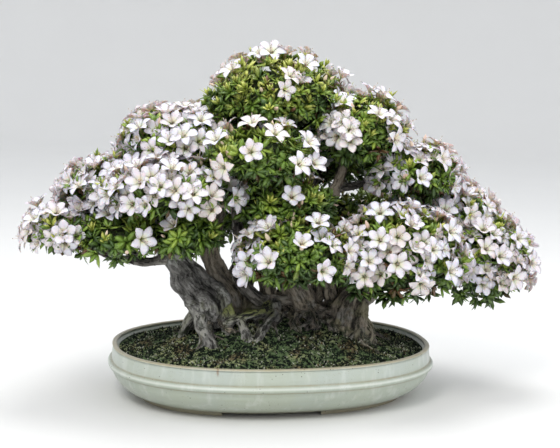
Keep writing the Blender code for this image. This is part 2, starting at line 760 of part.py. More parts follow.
def plan_spray(pad, core_tree, trees, rng):
    """Chooses the blooms of a pad: each one's parent is the nearest bloom nearer to the spray's
    foot, and a bloom whose twig or lobes would cross another piece is left out."""
    sites = bloom_sites(pad, rng)
    hub = sites[0][0]
    sites.sort(key=lambda site: np.linalg.norm(site[0] - hub))
    kept = []
    own = []
    for site, normal, axis in sites:
        spin, size = rng.uniform(0, TURN), rng.uniform(0.90, 1.06)
        nearest = sorted(range(len(kept)), key=lambda k: np.linalg.norm(kept[k]["site"] - site))
        parent = None
        for choice in nearest[:TWIG_FORKS]:
            start = kept[choice]["site"]
            near = np.linalg.norm(start - site) < SPRAY_REACH
            free = near and kept[choice]["children"] < TWIG_FORKS
            clear = is_clear(twig_solid(start, site, 0.0), trees + [core_tree])
            if free and clear and is_clear(twig_solid(start, site, TWIG_DRAWN_IN), own):
                parent = choice
                break
        if kept and parent is None:
            continue
        for height in BLOOM_HEIGHTS:
            outline, middle = bloom_shape(site, axis, spin, height, size)
            flower = star_solid(site, outline, middle, axis, DRAWN_IN)
            whole = star_solid(site, outline, middle, axis, 0.0)
            if is_clear(whole, trees + [core_tree]) and is_clear(flower, own):
                own.append(tree_of(flower))
                break
        else:
            continue
        if parent is not None:
            own.append(tree_of(twig_solid(kept[parent]["site"], site, TWIG_DRAWN_IN)))
            kept[parent]["children"] += 1
        kept.append(
            {
                "site": site,
                "normal": normal,
                "axis": axis,
                "parent": parent,
                "children": 0,
                "outline": outline,
                "middle": middle,
            }
        )
    return kept


def outlet(shell, faces, way):
    """Takes the face that looks furthest along way out of a list of faces."""
    best = max(faces, key=lambda face: shell.normal(face) @ way)
    faces.remove(best)
    return best


def grow_spray(kept, core_tree):
    """Grows one body of twigs and blooms from a foot that stands on the pad."""
    hub = kept[0]
    found, normal, *_ = core_tree.find_nearest(Vector(hub["site"]))
    normal = np.array(normal)
    foot = ring_at(np.array(found) + 2 * FIT_GAP * normal, normal, square_to(normal), TWIG_RADIUS)
    shell = Shell(foot, [(0, 1, 2), (2, 1, 0)])
    upward = next(face for face in shell.faces if shell.normal(face) @ normal > 0)
    outlets = {None: [upward]}
    for index, spot in enumerate(kept):
        site, axis, parent = spot["site"], spot["axis"], spot["parent"]
        start = shell.centre(upward) if parent is None else kept[parent]["site"]
        way = unit(site - start)
        face = outlet(shell, outlets[parent], way)
        if spot["children"] == 0:
            bent = unit(way + axis)
            _, end = shell.extrude(face, ring_at(site, bent, spot["normal"] - way, TWIG_RADIUS))
        else:
            half = 0.5 * COLLAR_LENGTH * way
            up = spot["normal"] if parent is not None else square_to(way)
            _, low = shell.extrude(face, ring_at(site - half, way, up, TWIG_RADIUS))
            sides, end = shell.extrude(low, ring_at(site + half, way, up, TWIG_RADIUS))
            outlets[index] = sides + [end]
            end = outlet(shell, outlets[index], axis)
        shell.flare(end, spot["outline"], spot["middle"], axis)
    return shell.solid()


def grow_whorl(shell, face, axis, height, outline, middle):
    """Pushes a face up into a short shoot, and opens the shoot's tip into leaves."""
    stem = shell.centre(face) + 0.5 * height * axis
    _, end = shell.extrude(face, ring_at(stem, axis, square_to(axis), SHOOT_RADIUS))
    shell.flare(end, outline, middle, axis)


def grow_whorls(pad, shell, trees, rng):
    """Grows a pad's leaf whorls where they cross nothing, and returns the faces left over."""
    count = PADS[pad][5]
    faces = list(shell.faces)
    own = [tree_of(shell.solid())]
    spare = []
    for index in rng.permutation(len(faces)):
        face = faces[index]
        normal, place = shell.normal(face), shell.centre(face)
        axis = unit(normal + (0, 0, WHORL_UPWARD))
        lifts = rng.uniform(*WHORL_LIFTS, WHORL_LEAVES)
        spin = rng.uniform(0, TURN)
        wanted = len(own) <= count and normal[2] > WHORL_LOWEST
        for height in WHORL_HEIGHTS if wanted else ():
            shape = whorl_shape(place, axis, spin, height, lifts)
            leaves = star_solid(place, *shape, axis, DRAWN_IN)
            alone = Shell([shell.points[corner] for corner in face], [(0, 1, 2), (2, 1, 0)])
            grow_whorl(alone, (0, 1, 2), axis, height, *shape)
            if is_clear(alone.solid(), trees) and is_clear(leaves, own):
                grow_whorl(shell, face, axis, height, *shape)
                own.append(tree_of(leaves))
                break
        else:
            spare.append(face)
    return spare


def grow_tufts(shell, faces, trees, rng):
    """Raises a leaning point on each of the faces where it crosses nothing."""
    for face in faces:
        normal, place = shell.normal(face), shell.centre(face)
        tip = place + TUFT_HEIGHT * unit(normal + rng.uniform(-1, 1, 3) * TUFT_LEAN)
        corners = np.array([shell.points[corner] for corner in face] + [tip])
        sides = [(0, 1, 3), (1, 2, 3), (2, 0, 3)]
        middle = corners.mean(axis=0) + TUFT_OFF_FACE * normal
        drawn_in = middle + TUFT_DRAWN_IN * (corners - corners.mean(axis=0))
        alone = [tree_of((drawn_in, sides))]
        if is_clear((corners, sides), trees) and is_clear(shell.solid(), alone, 1.0):
            shell.spike(face, tip)


def make_foliage(tree):
    """Each pad's leaves in one node and its blooms in another, clear of each other and the wood."""
    rng = np.random.default_rng(SEED)
    cores = {pad: pad_core(pad, step) for step, pad in enumerate(PADS)}
    core_trees = {pad: tree_of(core) for pad, core in cores.items()}
    wood = tree_of(solid_of(tree))
    taken = [wood]
    for pad in PADS:
        others = [core for name, core in core_trees.items() if name != pad]
        spray = grow_spray(plan_spray(pad, core_trees[pad], taken + others, rng), core_trees[pad])
        solid_object("blooms_" + pad, spray, "petal")
        taken.append(tree_of(spray))
    for pad, core in cores.items():
        others = [other for name, other in core_trees.items() if name != pad]
        shell = Shell(*core)
        spare = grow_whorls(pad, shell, taken + others, rng)
        grow_tufts(shell, spare, taken + others, rng)
        body = solid_object("leaves_" + pad, shell.solid(), "leaf")
        taken.append(tree_of(shell.solid()))
        combine(body, "DIFFERENCE", wood_solids(FIT_GAP), "leaf")
        keep_largest(body)


def stand_on_origin():
    """Parents all to one empty, moved so that the whole bonsai's middle is over the origin."""
    bodies = list(bpy.context.scene.collection.objects)
    corners = np.vstack([solid_of(body)[0] for body in bodies])
    low, high = corners.min(axis=0), corners.max(axis=0)
    base = bpy.data.objects.new("bonsai", None)
    bpy.context.scene.collection.objects.link(base)
    base.location = (-(low[0] + high[0]) / 2, -(low[1] + high[1]) / 2, -low[2])
    for body in bodies:
        body.parent = base


def main():
    clear_scene()
    make_pot()
    make_soil()
    tree = make_tree()
    make_foliage(tree)
    stand_on_origin()


main()
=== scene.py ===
"""A satsuki azalea bonsai in bloom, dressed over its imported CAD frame. Metres, +Z up, in the frame's
own axes: +X to the right in the photograph, +Y away from the viewer. The sizes of the pot, the wood
and the foliage pads are those of the CAD source, laid out round the pot's centre."""

import math

import bpy
import numpy as np
from mathutils import Matrix, Vector


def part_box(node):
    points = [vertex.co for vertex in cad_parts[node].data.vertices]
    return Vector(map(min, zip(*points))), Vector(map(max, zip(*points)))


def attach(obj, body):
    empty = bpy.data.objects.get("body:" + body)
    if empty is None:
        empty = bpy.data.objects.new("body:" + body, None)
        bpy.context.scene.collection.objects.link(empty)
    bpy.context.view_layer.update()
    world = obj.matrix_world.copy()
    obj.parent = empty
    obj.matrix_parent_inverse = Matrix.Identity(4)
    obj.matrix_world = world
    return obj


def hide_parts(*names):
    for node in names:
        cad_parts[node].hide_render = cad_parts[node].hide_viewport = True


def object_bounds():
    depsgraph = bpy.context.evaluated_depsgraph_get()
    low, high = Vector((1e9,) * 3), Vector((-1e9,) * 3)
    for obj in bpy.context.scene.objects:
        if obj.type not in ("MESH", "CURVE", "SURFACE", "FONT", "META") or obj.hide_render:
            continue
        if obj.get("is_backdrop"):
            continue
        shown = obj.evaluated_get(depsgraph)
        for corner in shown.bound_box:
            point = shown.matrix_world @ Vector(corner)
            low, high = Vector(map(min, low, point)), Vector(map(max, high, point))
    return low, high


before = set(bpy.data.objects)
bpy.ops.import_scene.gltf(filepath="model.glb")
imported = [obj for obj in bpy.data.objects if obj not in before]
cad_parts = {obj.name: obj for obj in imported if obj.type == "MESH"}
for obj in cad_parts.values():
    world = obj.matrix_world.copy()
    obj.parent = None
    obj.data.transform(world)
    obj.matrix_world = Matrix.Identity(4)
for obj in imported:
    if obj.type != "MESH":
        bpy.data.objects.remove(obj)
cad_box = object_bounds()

# The pot: pressed stoneware under a pale celadon glaze, fired in one piece. It has a thin lip, a
# half-round bead round its waist, a bowl-shaped lower wall, and low feet cut by four slots.

TURN = 2 * math.pi
BEAD_HALF_LENGTH, BEAD_HALF_WIDTH = 0.280, 0.2125
OVAL_POWER = 2.26
FLOOR_HEIGHT, FOOT_WIDTH, FOOT_HEIGHT = 0.018, 0.016, 0.006
FOOT_OFFSET, INNER_FLOOR_OFFSET = -0.054, -0.050
SLOT_SIZES = ((0.080, 0.300), (0.300, 0.045))
SLOT_TURN = -0.176
DRAIN_PLACES, DRAIN_RADIUS, DRAIN_TOP = (-0.110, 0.110), 0.014, 0.030
CUT_BELOW = -0.002
POT_SEGMENTS, DRAIN_SEGMENTS = 200, 32
BEAD_HEIGHT, BEAD_RISE, BEAD_REACH = 0.0567, 0.0054, 0.0060
LIP_HEIGHT, LIP_RISE, LIP_REACH, LIP_OFFSET = 0.0866, 0.0023, 0.0043, -0.0115
STAIN_PLACE = -0.1215
SHARP_EDGE = math.radians(42)
pot_low, pot_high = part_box("pot")
SHIFT = np.array(((pot_low.x + pot_high.x) / 2, (pot_low.y + pot_high.y) / 2, 0.0))


def even_turns(count):
    """Angles of count even steps round a circle."""
    return np.arange(count) * TURN / count


def oval_edge(turns, offset):
    """x and y on the pot's oval, |x| to a power plus |y| to the same power equal to one, moved out
    or in by an offset."""
    along, across = np.cos(turns), np.sin(turns)
    power = 2 / OVAL_POWER
    x = (BEAD_HALF_LENGTH + offset) * np.sign(along) * np.abs(along) ** power
    y = (BEAD_HALF_WIDTH + offset) * np.sign(across) * np.abs(across) ** power
    return x, y


def oval(offsets, heights):
    """Rings on the pot's oval, each moved by its own offset and set at its own height."""
    x, y = oval_edge(even_turns(POT_SEGMENTS), np.asarray(offsets, float)[:, None])
    z = np.broadcast_to(np.asarray(heights, float)[:, None], x.shape)
    return np.stack((x, y, z), axis=-1)


def grid_faces(rows, columns, wrapped=False):
    """Triangles of a grid of rows by columns points, whose rows may join up into rings."""
    row = np.arange(rows - 1)[:, None] * columns
    step = np.arange(columns if wrapped else columns - 1)[None, :]
    low, low_next = row + step, row + (step + 1) % columns
    high, high_next = low + columns, low_next + columns
    first = np.stack((low, low_next, high_next), axis=-1).reshape(-1, 3)
    second = np.stack((low, high_next, high), axis=-1).reshape(-1, 3)
    return np.concatenate((first, second))


def closed_loft(rings):
    """A closed solid through rings of points: a grid between them, and a fan over each end."""
    rows, columns = rings.shape[:2]
    step = np.arange(1, columns - 1)
    fan = np.stack((np.zeros_like(step), step, step + 1), axis=-1)
    ends = (fan[:, ::-1], fan + (rows - 1) * columns)
    return rings.reshape(-1, 3), np.concatenate((grid_faces(rows, columns, True), *ends))


def run_points(run, samples):
    """A smooth curve through given places: a Catmull-Rom cubic between each pair."""
    run = np.asarray(run, float)
    ends = np.vstack((2 * run[0] - run[1], run, 2 * run[-1] - run[-2]))
    share = (np.arange(samples) / samples)[None, :, None]
    before, here, after, beyond = (ends[k : k + len(run) - 1, None] for k in range(4))
    curve = 0.5 * (
        2 * here
        + (after - before) * share
        + (2 * before - 5 * here + 4 * after - beyond) * share**2
        + (3 * here - before - 3 * after + beyond) * share**3
    )
    return np.vstack((curve.reshape(-1, run.shape[1]), run[-1:]))


def put(name, data):
    """An object of a mesh, a lamp or a camera, linked into the scene."""
    made = bpy.data.objects.new(name, data)
    bpy.context.scene.collection.objects.link(made)
    return made


def piece(name, points, faces, materials, replaced, looks=None, picks=None):
    """A finished piece from arrays: it rides on the root body at the origin, stands for its CAD
    nodes, and carries looks, which are three numbers a point for its materials to read."""
    mesh = bpy.data.meshes.new(name)
    mesh.vertices.add(len(points))
    mesh.vertices.foreach_set("co", np.ascontiguousarray(points, np.float32).ravel())
    mesh.loops.add(faces.size)
    mesh.loops.foreach_set("vertex_index", np.ascontiguousarray(faces, np.int32).ravel())
    mesh.polygons.add(len(faces))
    mesh.polygons.foreach_set("loop_start", np.arange(0, faces.size, 3, dtype=np.int32))
    for label, values in (looks or {}).items():
        attribute = mesh.attributes.new(label, "FLOAT_VECTOR", "POINT")
        attribute.data.foreach_set("vector", np.ascontiguousarray(values, np.float32).ravel())
    for material in materials:
        mesh.materials.append(material)
    if picks is not None:
        mesh.polygons.foreach_set("material_index", np.ascontiguousarray(picks, np.int32))
    mesh.update(calc_edges=True)
    mesh.validate()
    mesh.shade_smooth()
    made = put(name, mesh)
    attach(made, "root")
    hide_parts(*replaced)
    return made


class Wire:
    """An output of a material's nodes. Arithmetic on it adds Math nodes, and add() any node."""

    def __init__(self, tree, output):
        self.tree, self.output = tree, output

    def add(self, kind, settings=(), inputs=(), output=0):
        """Adds a node: its type, its settings, and what goes into its inputs."""
        node = self.tree.nodes.new(kind)
        for name, value in dict(settings).items():
            setattr(node, name, value)
        for name, value in dict(inputs).items():
            if isinstance(value, Wire):
                self.tree.links.new(value.output, node.inputs[name])
            else:
                node.inputs[name].default_value = value
        return Wire(self.tree, node.outputs[output])

    def math(self, operation, first, second=0.0):
        """A Math node on two numbers or wires."""
        return self.add("ShaderNodeMath", {"operation": operation}, {0: first, 1: second})

    def __add__(self, other):
        return self.math("ADD", self, other)

    def __sub__(self, other):
        return self.math("SUBTRACT", self, other)

    def __rsub__(self, other):
        return self.math("SUBTRACT", other, self)

    def __mul__(self, other):
        return self.math("MULTIPLY", self, other)

    def __abs__(self):
        return self.math("ABSOLUTE", self)

    __radd__, __rmul__ = __add__, __mul__

    def span(self, low, high):
        """0 at low, 1 at high, and a smooth step between. Low may be above high."""
        if low > high:
            return 1.0 - self.span(high, low)
        inputs = {"Value": self, "From Min": low, "From Max": high}
        return self.add("ShaderNodeMapRange", {"interpolation_type": "SMOOTHSTEP"}, inputs)

    def mix(self, none, full):
        """A colour between two: the first where this is 0, and the second where it is 1."""
        ends = {6: none, 7: full}
        ends = {place: end if isinstance(end, Wire) else (*end, 1.0) for place, end in ends.items()}
        return self.add("ShaderNodeMix", {"data_type": "RGBA"}, {0: self, **ends}, 2)

    def noise(self, scale, detail=3.0, rough=0.5):
        """Smooth noise at this place, with scale blobs to a metre."""
        inputs = {"Vector": self, "Scale": scale, "Detail": detail, "Roughness": rough}
        return self.add("ShaderNodeTexNoise", {}, inputs)

    def cells(self, scale):
        """The distance to the nearest of scattered points."""
        return self.add("ShaderNodeTexVoronoi", {}, {"Vector": self, "Scale": scale})

    def stretched(self, x, y, z):
        """This place times a number for each axis, which draws a pattern out along it."""
        return self.add("ShaderNodeVectorMath", {"operation": "MULTIPLY"}, {0: self, 1: (x, y, z)})

    def parts(self):
        """The three numbers of a place or of an attribute."""
        return [self.add("ShaderNodeSeparateXYZ", {}, {0: self}, index) for index in range(3)]


class Surface:
    """A Principled material: its place and attribute wires, and what is set on its shader."""

    def __init__(self, name, **constants):
        self.material = bpy.data.materials.new(name)
        self.material.use_nodes = True
        self.tree = self.material.node_tree
        self.shader = self.tree.nodes["Principled BSDF"]
        for socket, value in constants.items():
            self.shader.inputs[socket.replace("_", " ")].default_value = value
        coordinates = self.tree.nodes.new("ShaderNodeTexCoord")
        self.place = Wire(self.tree, coordinates.outputs["Object"])
        self.x, self.y, self.z = self.place.parts()

    def look(self, label):
        """A piece's own attribute of three numbers a point."""
        return self.place.add("ShaderNodeAttribute", {"attribute_name": label}, {}, "Vector")

    def link(self, socket, wire):
        """Feeds a socket of the shader."""
        self.tree.links.new(wire.output, self.shader.inputs[socket])

    def bump(self, height, distance, strength=1.0):
        """Tilts the surface by a height, given as a share of a distance in metres."""
        inputs = {"Height": height, "Distance": distance, "Strength": strength}
        self.link("Normal", self.place.add("ShaderNodeBump", {}, inputs))


def pot_profile():
    """The wall's outline as (offset, height): a curved lower wall, a bead that is an arc of an
    ellipse between two shallow grooves, a wall that leans in, a rolled lip, and the inner wall."""
    foot = [(FOOT_OFFSET, 0.0), (-0.0525, 0.0008), (-0.0520, 0.0055)]
    low = [(-0.052, 0.006), (-0.036, 0.013), (-0.021, 0.024), (-0.010, 0.038), (-0.0058, 0.0500)]
    turns = np.radians(np.linspace(-84, 84, 11))
    bead_x = -BEAD_REACH + BEAD_REACH * np.cos(turns)
    bead = np.stack((bead_x, BEAD_HEIGHT + BEAD_RISE * np.sin(turns)), axis=1)
    wall = [(-0.0064, 0.0630), (-0.0068, 0.0720), (-0.0080, 0.0820), (-0.0076, 0.0848)]
    turns = np.radians(np.linspace(-60, 250, 12))
    lip_x = LIP_OFFSET + LIP_REACH * np.sign(np.cos(turns)) * np.abs(np.cos(turns)) ** 0.7
    lip = np.stack((lip_x, LIP_HEIGHT + LIP_RISE * np.sin(turns)), axis=1)
    inner = [(-0.0166, 0.0830), (-0.0200, 0.0780), (-0.0340, 0.0490), (INNER_FLOOR_OFFSET, FLOOR_HEIGHT)]
    return np.vstack((foot, run_points(low, 6), bead, run_points(wall, 4), lip, inner))


def foot_cutters():
    """The hollow inside the foot ring, two boxes turned a little for the slots, and the drains."""
    yield oval([FOOT_OFFSET - FOOT_WIDTH] * 2, [CUT_BELOW, FOOT_HEIGHT])
    cos, sin = math.cos(SLOT_TURN), math.sin(SLOT_TURN)
    for half_x, half_y in SLOT_SIZES:
        x = np.array((-half_x, half_x, half_x, -half_x))
        y = np.array((-half_y, -half_y, half_y, half_y))
        ring = np.stack((x * cos - y * sin, x * sin + y * cos, np.zeros(4)), axis=1)
        yield np.stack((ring + (0, 0, CUT_BELOW), ring + (0, 0, FOOT_HEIGHT - 0.0001)))
    turns = even_turns(DRAIN_SEGMENTS)
    for place in DRAIN_PLACES:
        ring = DRAIN_RADIUS * np.stack((np.cos(turns), np.sin(turns), 0 * turns), axis=1)
        yield np.stack((ring + (place, 0, CUT_BELOW), ring + (place, 0, DRAIN_TOP)))


def rough(name, points, faces):
    """An object from arrays for one step of the work, which is removed after it."""
    mesh = bpy.data.meshes.new(name)
    mesh.from_pydata(points.tolist(), [], faces.tolist())
    return put(name, mesh)


def applied(made):
    """An object's mesh with its modifiers applied."""
    bpy.context.view_layer.update()
    return bpy.data.meshes.new_from_object(made.evaluated_get(bpy.context.evaluated_depsgraph_get()))


def cut(body, points, faces):
    """Subtracts a closed solid from a body by a Boolean, and applies it."""
    cutter = rough("cutter", points, faces)
    boolean = body.modifiers.new("cut", "BOOLEAN")
    boolean.operation, boolean.object, boolean.solver = "DIFFERENCE", cutter, "EXACT"
    made = applied(body)
    body.modifiers.clear()
    body.data = made
    bpy.data.objects.remove(cutter)


def glaze_material():
    """Pale celadon, bluer above the bead and greener below, cloudy and streaked where it ran,
    brown where it thins on the lip, the bead's edges and the foot, with iron specks and a stain.
    The bead's edges and the foot also get painted shade, and the bead's crest a painted highlight."""
    glaze = Surface("glaze_fine", Metallic=0.0, Coat_Weight=0.30, Coat_Roughness=0.14)
    cloud = glaze.place.noise(8.0, 5.0, 0.6)
    fine = glaze.place.noise(110.0, 4.0, 0.6)
    streaks = glaze.place.stretched(1.0, 1.0, 0.16).noise(60.0, 4.0, 0.6)
    rings = glaze.place.stretched(0.10, 0.10, 1.0).noise(190.0, 3.0, 0.6)
    upper = glaze.z.span(0.050, 0.070)
    base = upper.mix((0.415, 0.465, 0.395), (0.455, 0.505, 0.455))
    base = (cloud.span(0.62, 0.35) * 0.42).mix(base, (0.45, 0.49, 0.37))
    base = (streaks.span(0.50, 0.70) * 0.40).mix(base, (0.64, 0.67, 0.63))
    base = (rings.span(0.52, 0.70) * (1.0 - upper) * 0.35).mix(base, (0.40, 0.44, 0.33))
    base = (fine.span(0.45, 0.72) * 0.22).mix(base, (0.42, 0.45, 0.34))
    lip = glaze.z.span(0.0850, 0.0880) * (0.35 + 0.85 * glaze.place.noise(38.0, 4.0))
    base = lip.mix(base, (0.42, 0.36, 0.23))
    # The bead's grooves: brown where the glaze thins, and darkened by painted shade as well
    edges = glaze.z.span(0.0490, 0.0508) * glaze.z.span(0.0535, 0.0515)
    edges = edges + glaze.z.span(0.0608, 0.0622) * glaze.z.span(0.0650, 0.0630)
    base = (edges * (0.15 + 0.75 * glaze.place.noise(70.0, 3.0))).mix(base, (0.30, 0.26, 0.16))
    # Painted highlight: a pale band along the bead's crest
    bead_highlight = glaze.z.span(0.0560, 0.0580) * glaze.z.span(0.0610, 0.0590)
    base = (bead_highlight * 0.50).mix(base, (0.72, 0.75, 0.69))
    # The foot: brown where the glaze thins, and darkened by painted shade at the base as well
    low = glaze.z.span(0.018, 0.003) * (0.45 + 0.6 * cloud)
    base = low.mix(base, (0.27, 0.22, 0.13))
    chosen = glaze.place.noise(60.0, 1.0).span(0.58, 0.63)
    base = (glaze.place.cells(170.0).span(0.19, 0.10) * chosen * 0.9).mix(base, (0.07, 0.05, 0.03))
    grit = glaze.place.cells(330.0).span(0.22, 0.12) * glaze.place.noise(26.0, 1.0).span(0.5, 0.6)
    base = (grit * 0.45).mix(base, (0.24, 0.19, 0.11))
    across = glaze.x - float(SHIFT[0] + STAIN_PLACE) + (glaze.place.noise(90.0, 2.0) - 0.5) * 0.004
    stain = abs(across).span(0.0026, 0.0004) * glaze.z.span(0.0745, 0.0820)
    front = glaze.y.span(float(SHIFT[1] - 0.05), float(SHIFT[1] - 0.10))
    base = (stain * front * 0.65).mix(base, (0.24, 0.13, 0.06))
    glaze.link("Base Color", base)
    glaze.link("Roughness", 0.26 + 0.22 * cloud + 0.12 * fine)
    glaze.bump(cloud * 0.5 + fine * 0.4 + rings * 0.4 + streaks * 0.3, 0.0016, 0.5)
    return glaze.material


def make_pot():
    """The profile swept round the oval, cut by the foot's hollow, its slots and the drains."""
    profile = pot_profile()
    points, faces = closed_loft(oval(profile[:, 0], profile[:, 1]))
    pot = piece("glazed_pot", points + SHIFT, faces, [glaze_material()], ["pot"])
    for rings in foot_cutters():
        cutter_points, cutter_faces = closed_loft(rings)
        cut(pot, cutter_points + SHIFT, cutter_faces)
    pot.data.shade_smooth()
    pot.data.set_sharp_from_angle(angle=SHARP_EDGE)


make_pot()

# The soil: damp potting soil under a skin of moss, pressed up round the roots in a low mound. It
# fills the pot to just under the lip, and moss shoots stand on it.

SEED = 4031
SOIL_EDGE_HEIGHT, SOIL_EDGE_OFFSET = 0.080, -0.0190
MOUND_HEIGHT, MOUND_CENTRE = 0.138, np.array((0.030, 0.006, 0.0))
SOIL_RINGS = 70
CUSHION_SIZE, CUSHION_HEIGHT = 0.034, 0.0050
CREASE_SIZE, CREASE_HEIGHT = 0.014, 0.0075
SHOOTS, SHOOT_LEAN = 6500, 0.55
SHOOT_HEIGHTS, SHOOT_WIDTHS = (0.0022, 0.0062), (0.0012, 0.0027)


def lattice(cells, seed):
    """A number from 0 to 1 for each whole-number cell, from a fixed integer hash."""
    cells = cells.astype(np.int64)
    mixed = cells[..., 0] * 73856093 ^ cells[..., 1] * 19349663 ^ cells[..., 2] * 83492791
    mixed = (mixed ^ seed * 2654435761) & 0xFFFFFFFF
    mixed = ((mixed ^ (mixed >> 15)) * 2246822519) & 0xFFFFFFFF
    mixed = ((mixed ^ (mixed >> 13)) * 3266489917) & 0xFFFFFFFF
    return (mixed ^ (mixed >> 16)) / 0xFFFFFFFF


def noise(points, size, seed=0, octaves=3):
    """Value noise from -1 to 1: hashed lattice values joined by smooth cubic steps, where each
    octave is half as large and half as strong as the last."""
    total, strength, scale = 0.0, 1.0, 1.0 / size
    for octave in range(octaves):
        place = points * scale + 17.3 * octave
        cell = np.floor(place)
        part = place - cell
        part = part * part * (3 - 2 * part)
        value = 0.0
        for corner in np.ndindex(2, 2, 2):
            weight = np.prod(np.where(corner, part, 1 - part), axis=-1)
            value = value + weight * lattice(cell + corner, seed + octave)
        total = total + strength * (2 * value - 1)
        strength, scale = strength / 2, scale * 2
    return total / (2 - 2 ** (1 - octaves))


def unit(vectors):
    """Each vector divided by its own length."""
    vectors = np.asarray(vectors, float)
    return vectors / np.maximum(np.linalg.norm(vectors, axis=-1, keepdims=True), 1e-12)


def square_to(ways):
    """Two unit vectors square to each unit vector and to each other, by cross products."""
    helper = np.where(np.abs(ways[..., 2:]) < 0.9, (0.0, 0.0, 1.0), (1.0, 0.0, 0.0))
    side = unit(np.cross(helper, ways))
    return side, np.cross(ways, side)


def merge(parts):
    """Joins (points, faces, look, ...) parts into one, with each part's faces counted on."""
    starts = np.cumsum([0] + [len(part[0]) for part in parts[:-1]])
    faces = np.concatenate([part[1] + start for part, start in zip(parts, starts)])
    rest = [np.concatenate(column) for column in zip(*(part[2:] for part in parts))]
    return np.concatenate([part[0] for part in parts]), faces, *rest


def repeated(template, faces, count):
    """Faces of count copies of a shape, each counted on by its number of points."""
    return (faces[None] + template * np.arange(count)[:, None, None]).reshape(-1, 3)


def mound_share(points):
    """How far out points are from the mound's centre to the soil's oval edge: the share s at which
    the centre plus the way out divided by s lies on the oval, found by repeated scaling."""
    half = np.array((BEAD_HALF_LENGTH + SOIL_EDGE_OFFSET, BEAD_HALF_WIDTH + SOIL_EDGE_OFFSET))
    centre, away = MOUND_CENTRE[:2], points[..., :2] - MOUND_CENTRE[:2]
    share = np.full(points.shape[:-1], 0.5)
    for _ in range(14):
        place = np.abs((centre + away / share[..., None]) / half) ** OVAL_POWER
        share = np.maximum(share * place.sum(axis=-1) ** (1 / OVAL_POWER), 1e-4)
    return share


def mound_profile(shares):
    """The mound's height at shares of the way out: the edge's, and the rest of the mound times one
    less the share's square, squared."""
    return SOIL_EDGE_HEIGHT + (MOUND_HEIGHT - SOIL_EDGE_HEIGHT) * (1 - shares**2) ** 2


def mound_height(points):
    """The mound's height at points."""
    return mound_profile(np.minimum(mound_share(points), 1.0))


def soil_top(shares, turns):
    """Points of the soil at shares of the way out to the oval edge, at the mound's height with
    cushions of moss: noise of two sizes, the smaller one folded so that it makes creases."""
    edge_x, edge_y = oval_edge(turns, SOIL_EDGE_OFFSET)
    x = MOUND_CENTRE[0] + (edge_x - MOUND_CENTRE[0]) * shares
    y = MOUND_CENTRE[1] + (edge_y - MOUND_CENTRE[1]) * shares
    points = np.stack(np.broadcast_arrays(x, y, mound_profile(shares)), axis=-1)
    hold = np.clip((1 - shares) / 0.06, 0.15, 1)
    cushions = CUSHION_HEIGHT * noise(points, CUSHION_SIZE, 31, 2)
    creases = CREASE_HEIGHT * np.abs(noise(points, CREASE_SIZE, 33, 2))
    return points + (hold * (cushions + creases - 0.002))[..., None] * (0, 0, 1)


def moss_material():
    """Dark green moss and black soil, with yellow-green tips in patches and pale flecks. Where the
    bump is low, both are darkened towards black as painted shade in the hollows.
    """
    moss = Surface("moss_fine", Metallic=0.0, Roughness=0.95, Specular_IOR_Level=0.2)
    patches = moss.place.noise(22.0, 4.0, 0.6)
    clumps = moss.place.noise(150.0, 4.0, 0.65)
    # Painted shade: moss and soil go near black where the clumps' bump is low, in its hollows
    base = clumps.span(0.44, 0.58).mix((0.003, 0.007, 0.005), (0.120, 0.180, 0.080))
    base = (patches.span(0.46, 0.62) * clumps.span(0.47, 0.60)).mix(base, (0.40, 0.43, 0.21))
    earth = moss.place.noise(24.0, 3.0).span(0.53, 0.64)
    # The earth too is darkest in the bump's hollows, as painted shade
    grit = clumps.span(0.44, 0.60).mix((0.010, 0.007, 0.004), (0.19, 0.135, 0.075))
    base = (earth * 0.8).mix(base, grit)
    flecks = moss.place.cells(150.0).span(0.26, 0.16) * moss.place.noise(50.0, 2.0).span(0.48, 0.58)
    base = (flecks * 0.9).mix(base, (0.60, 0.60, 0.50))
    moss.link("Base Color", base)
    moss.bump(clumps, 0.006, 1.0)
    return moss.material


def shoot_material():
    """Moss shoots: dark at the foot, and at the tip green, yellow-green, dry cream or brown."""
    shoot = Surface("moss_shoot_fine", Metallic=0.0, Roughness=0.8, Specular_IOR_Level=0.2)
    along, _, tone = shoot.look("look").parts()
    tip = tone.span(0.46, 0.58).mix((0.003, 0.012, 0.008), (0.36, 0.45, 0.19))
    tip = tone.span(0.62, 0.71).mix(tip, (0.86, 0.88, 0.70))
    tip = tone.span(0.95, 0.98).mix(tip, (0.26, 0.16, 0.06))
    shade = shoot.place.noise(120.0, 2.0).span(0.52, 0.40)
    tip = (shade * 0.80).mix(tip, (0.010, 0.020, 0.010))
    shoot.link("Base Color", along.mix((0.008, 0.012, 0.006), tip))
    return shoot.material


def moss_shoots(rng):
    """Three-sided spikes scattered over the soil by the square root of a random share, leaning a
    little. Their tone follows patches of noise, so that like shoots stand together."""
    shares, turns = np.sqrt(rng.uniform(0.0, 0.985, SHOOTS)), rng.uniform(0, TURN, SHOOTS)
    feet = soil_top(shares, turns) - (0, 0, 0.0008)
    ways = unit(np.stack((*rng.normal(0, SHOOT_LEAN, (2, SHOOTS)), np.ones(SHOOTS)), axis=1))
    side, other = square_to(ways)
    height = rng.uniform(*SHOOT_HEIGHTS, SHOOTS)[:, None]
    width = rng.uniform(*SHOOT_WIDTHS, SHOOTS)[:, None]
    outs = [math.cos(turn) * side + math.sin(turn) * other for turn in even_turns(3)]
    points = np.stack((*(feet + width * out for out in outs), feet + height * ways), axis=1).reshape(-1, 3)
    faces = repeated(4, np.array([(0, 1, 3), (1, 2, 3), (2, 0, 3), (2, 1, 0)]), SHOOTS)
    looks = np.zeros((SHOOTS, 4, 3))
    looks[:, 3, 0] = 1.0
    tones = 0.45 + 0.90 * noise(feet, 0.016, 41, 2) + rng.normal(0, 0.16, SHOOTS)
    looks[..., 2] = np.clip(tones, 0, 1)[:, None]
    return points, faces, looks.reshape(-1, 3)


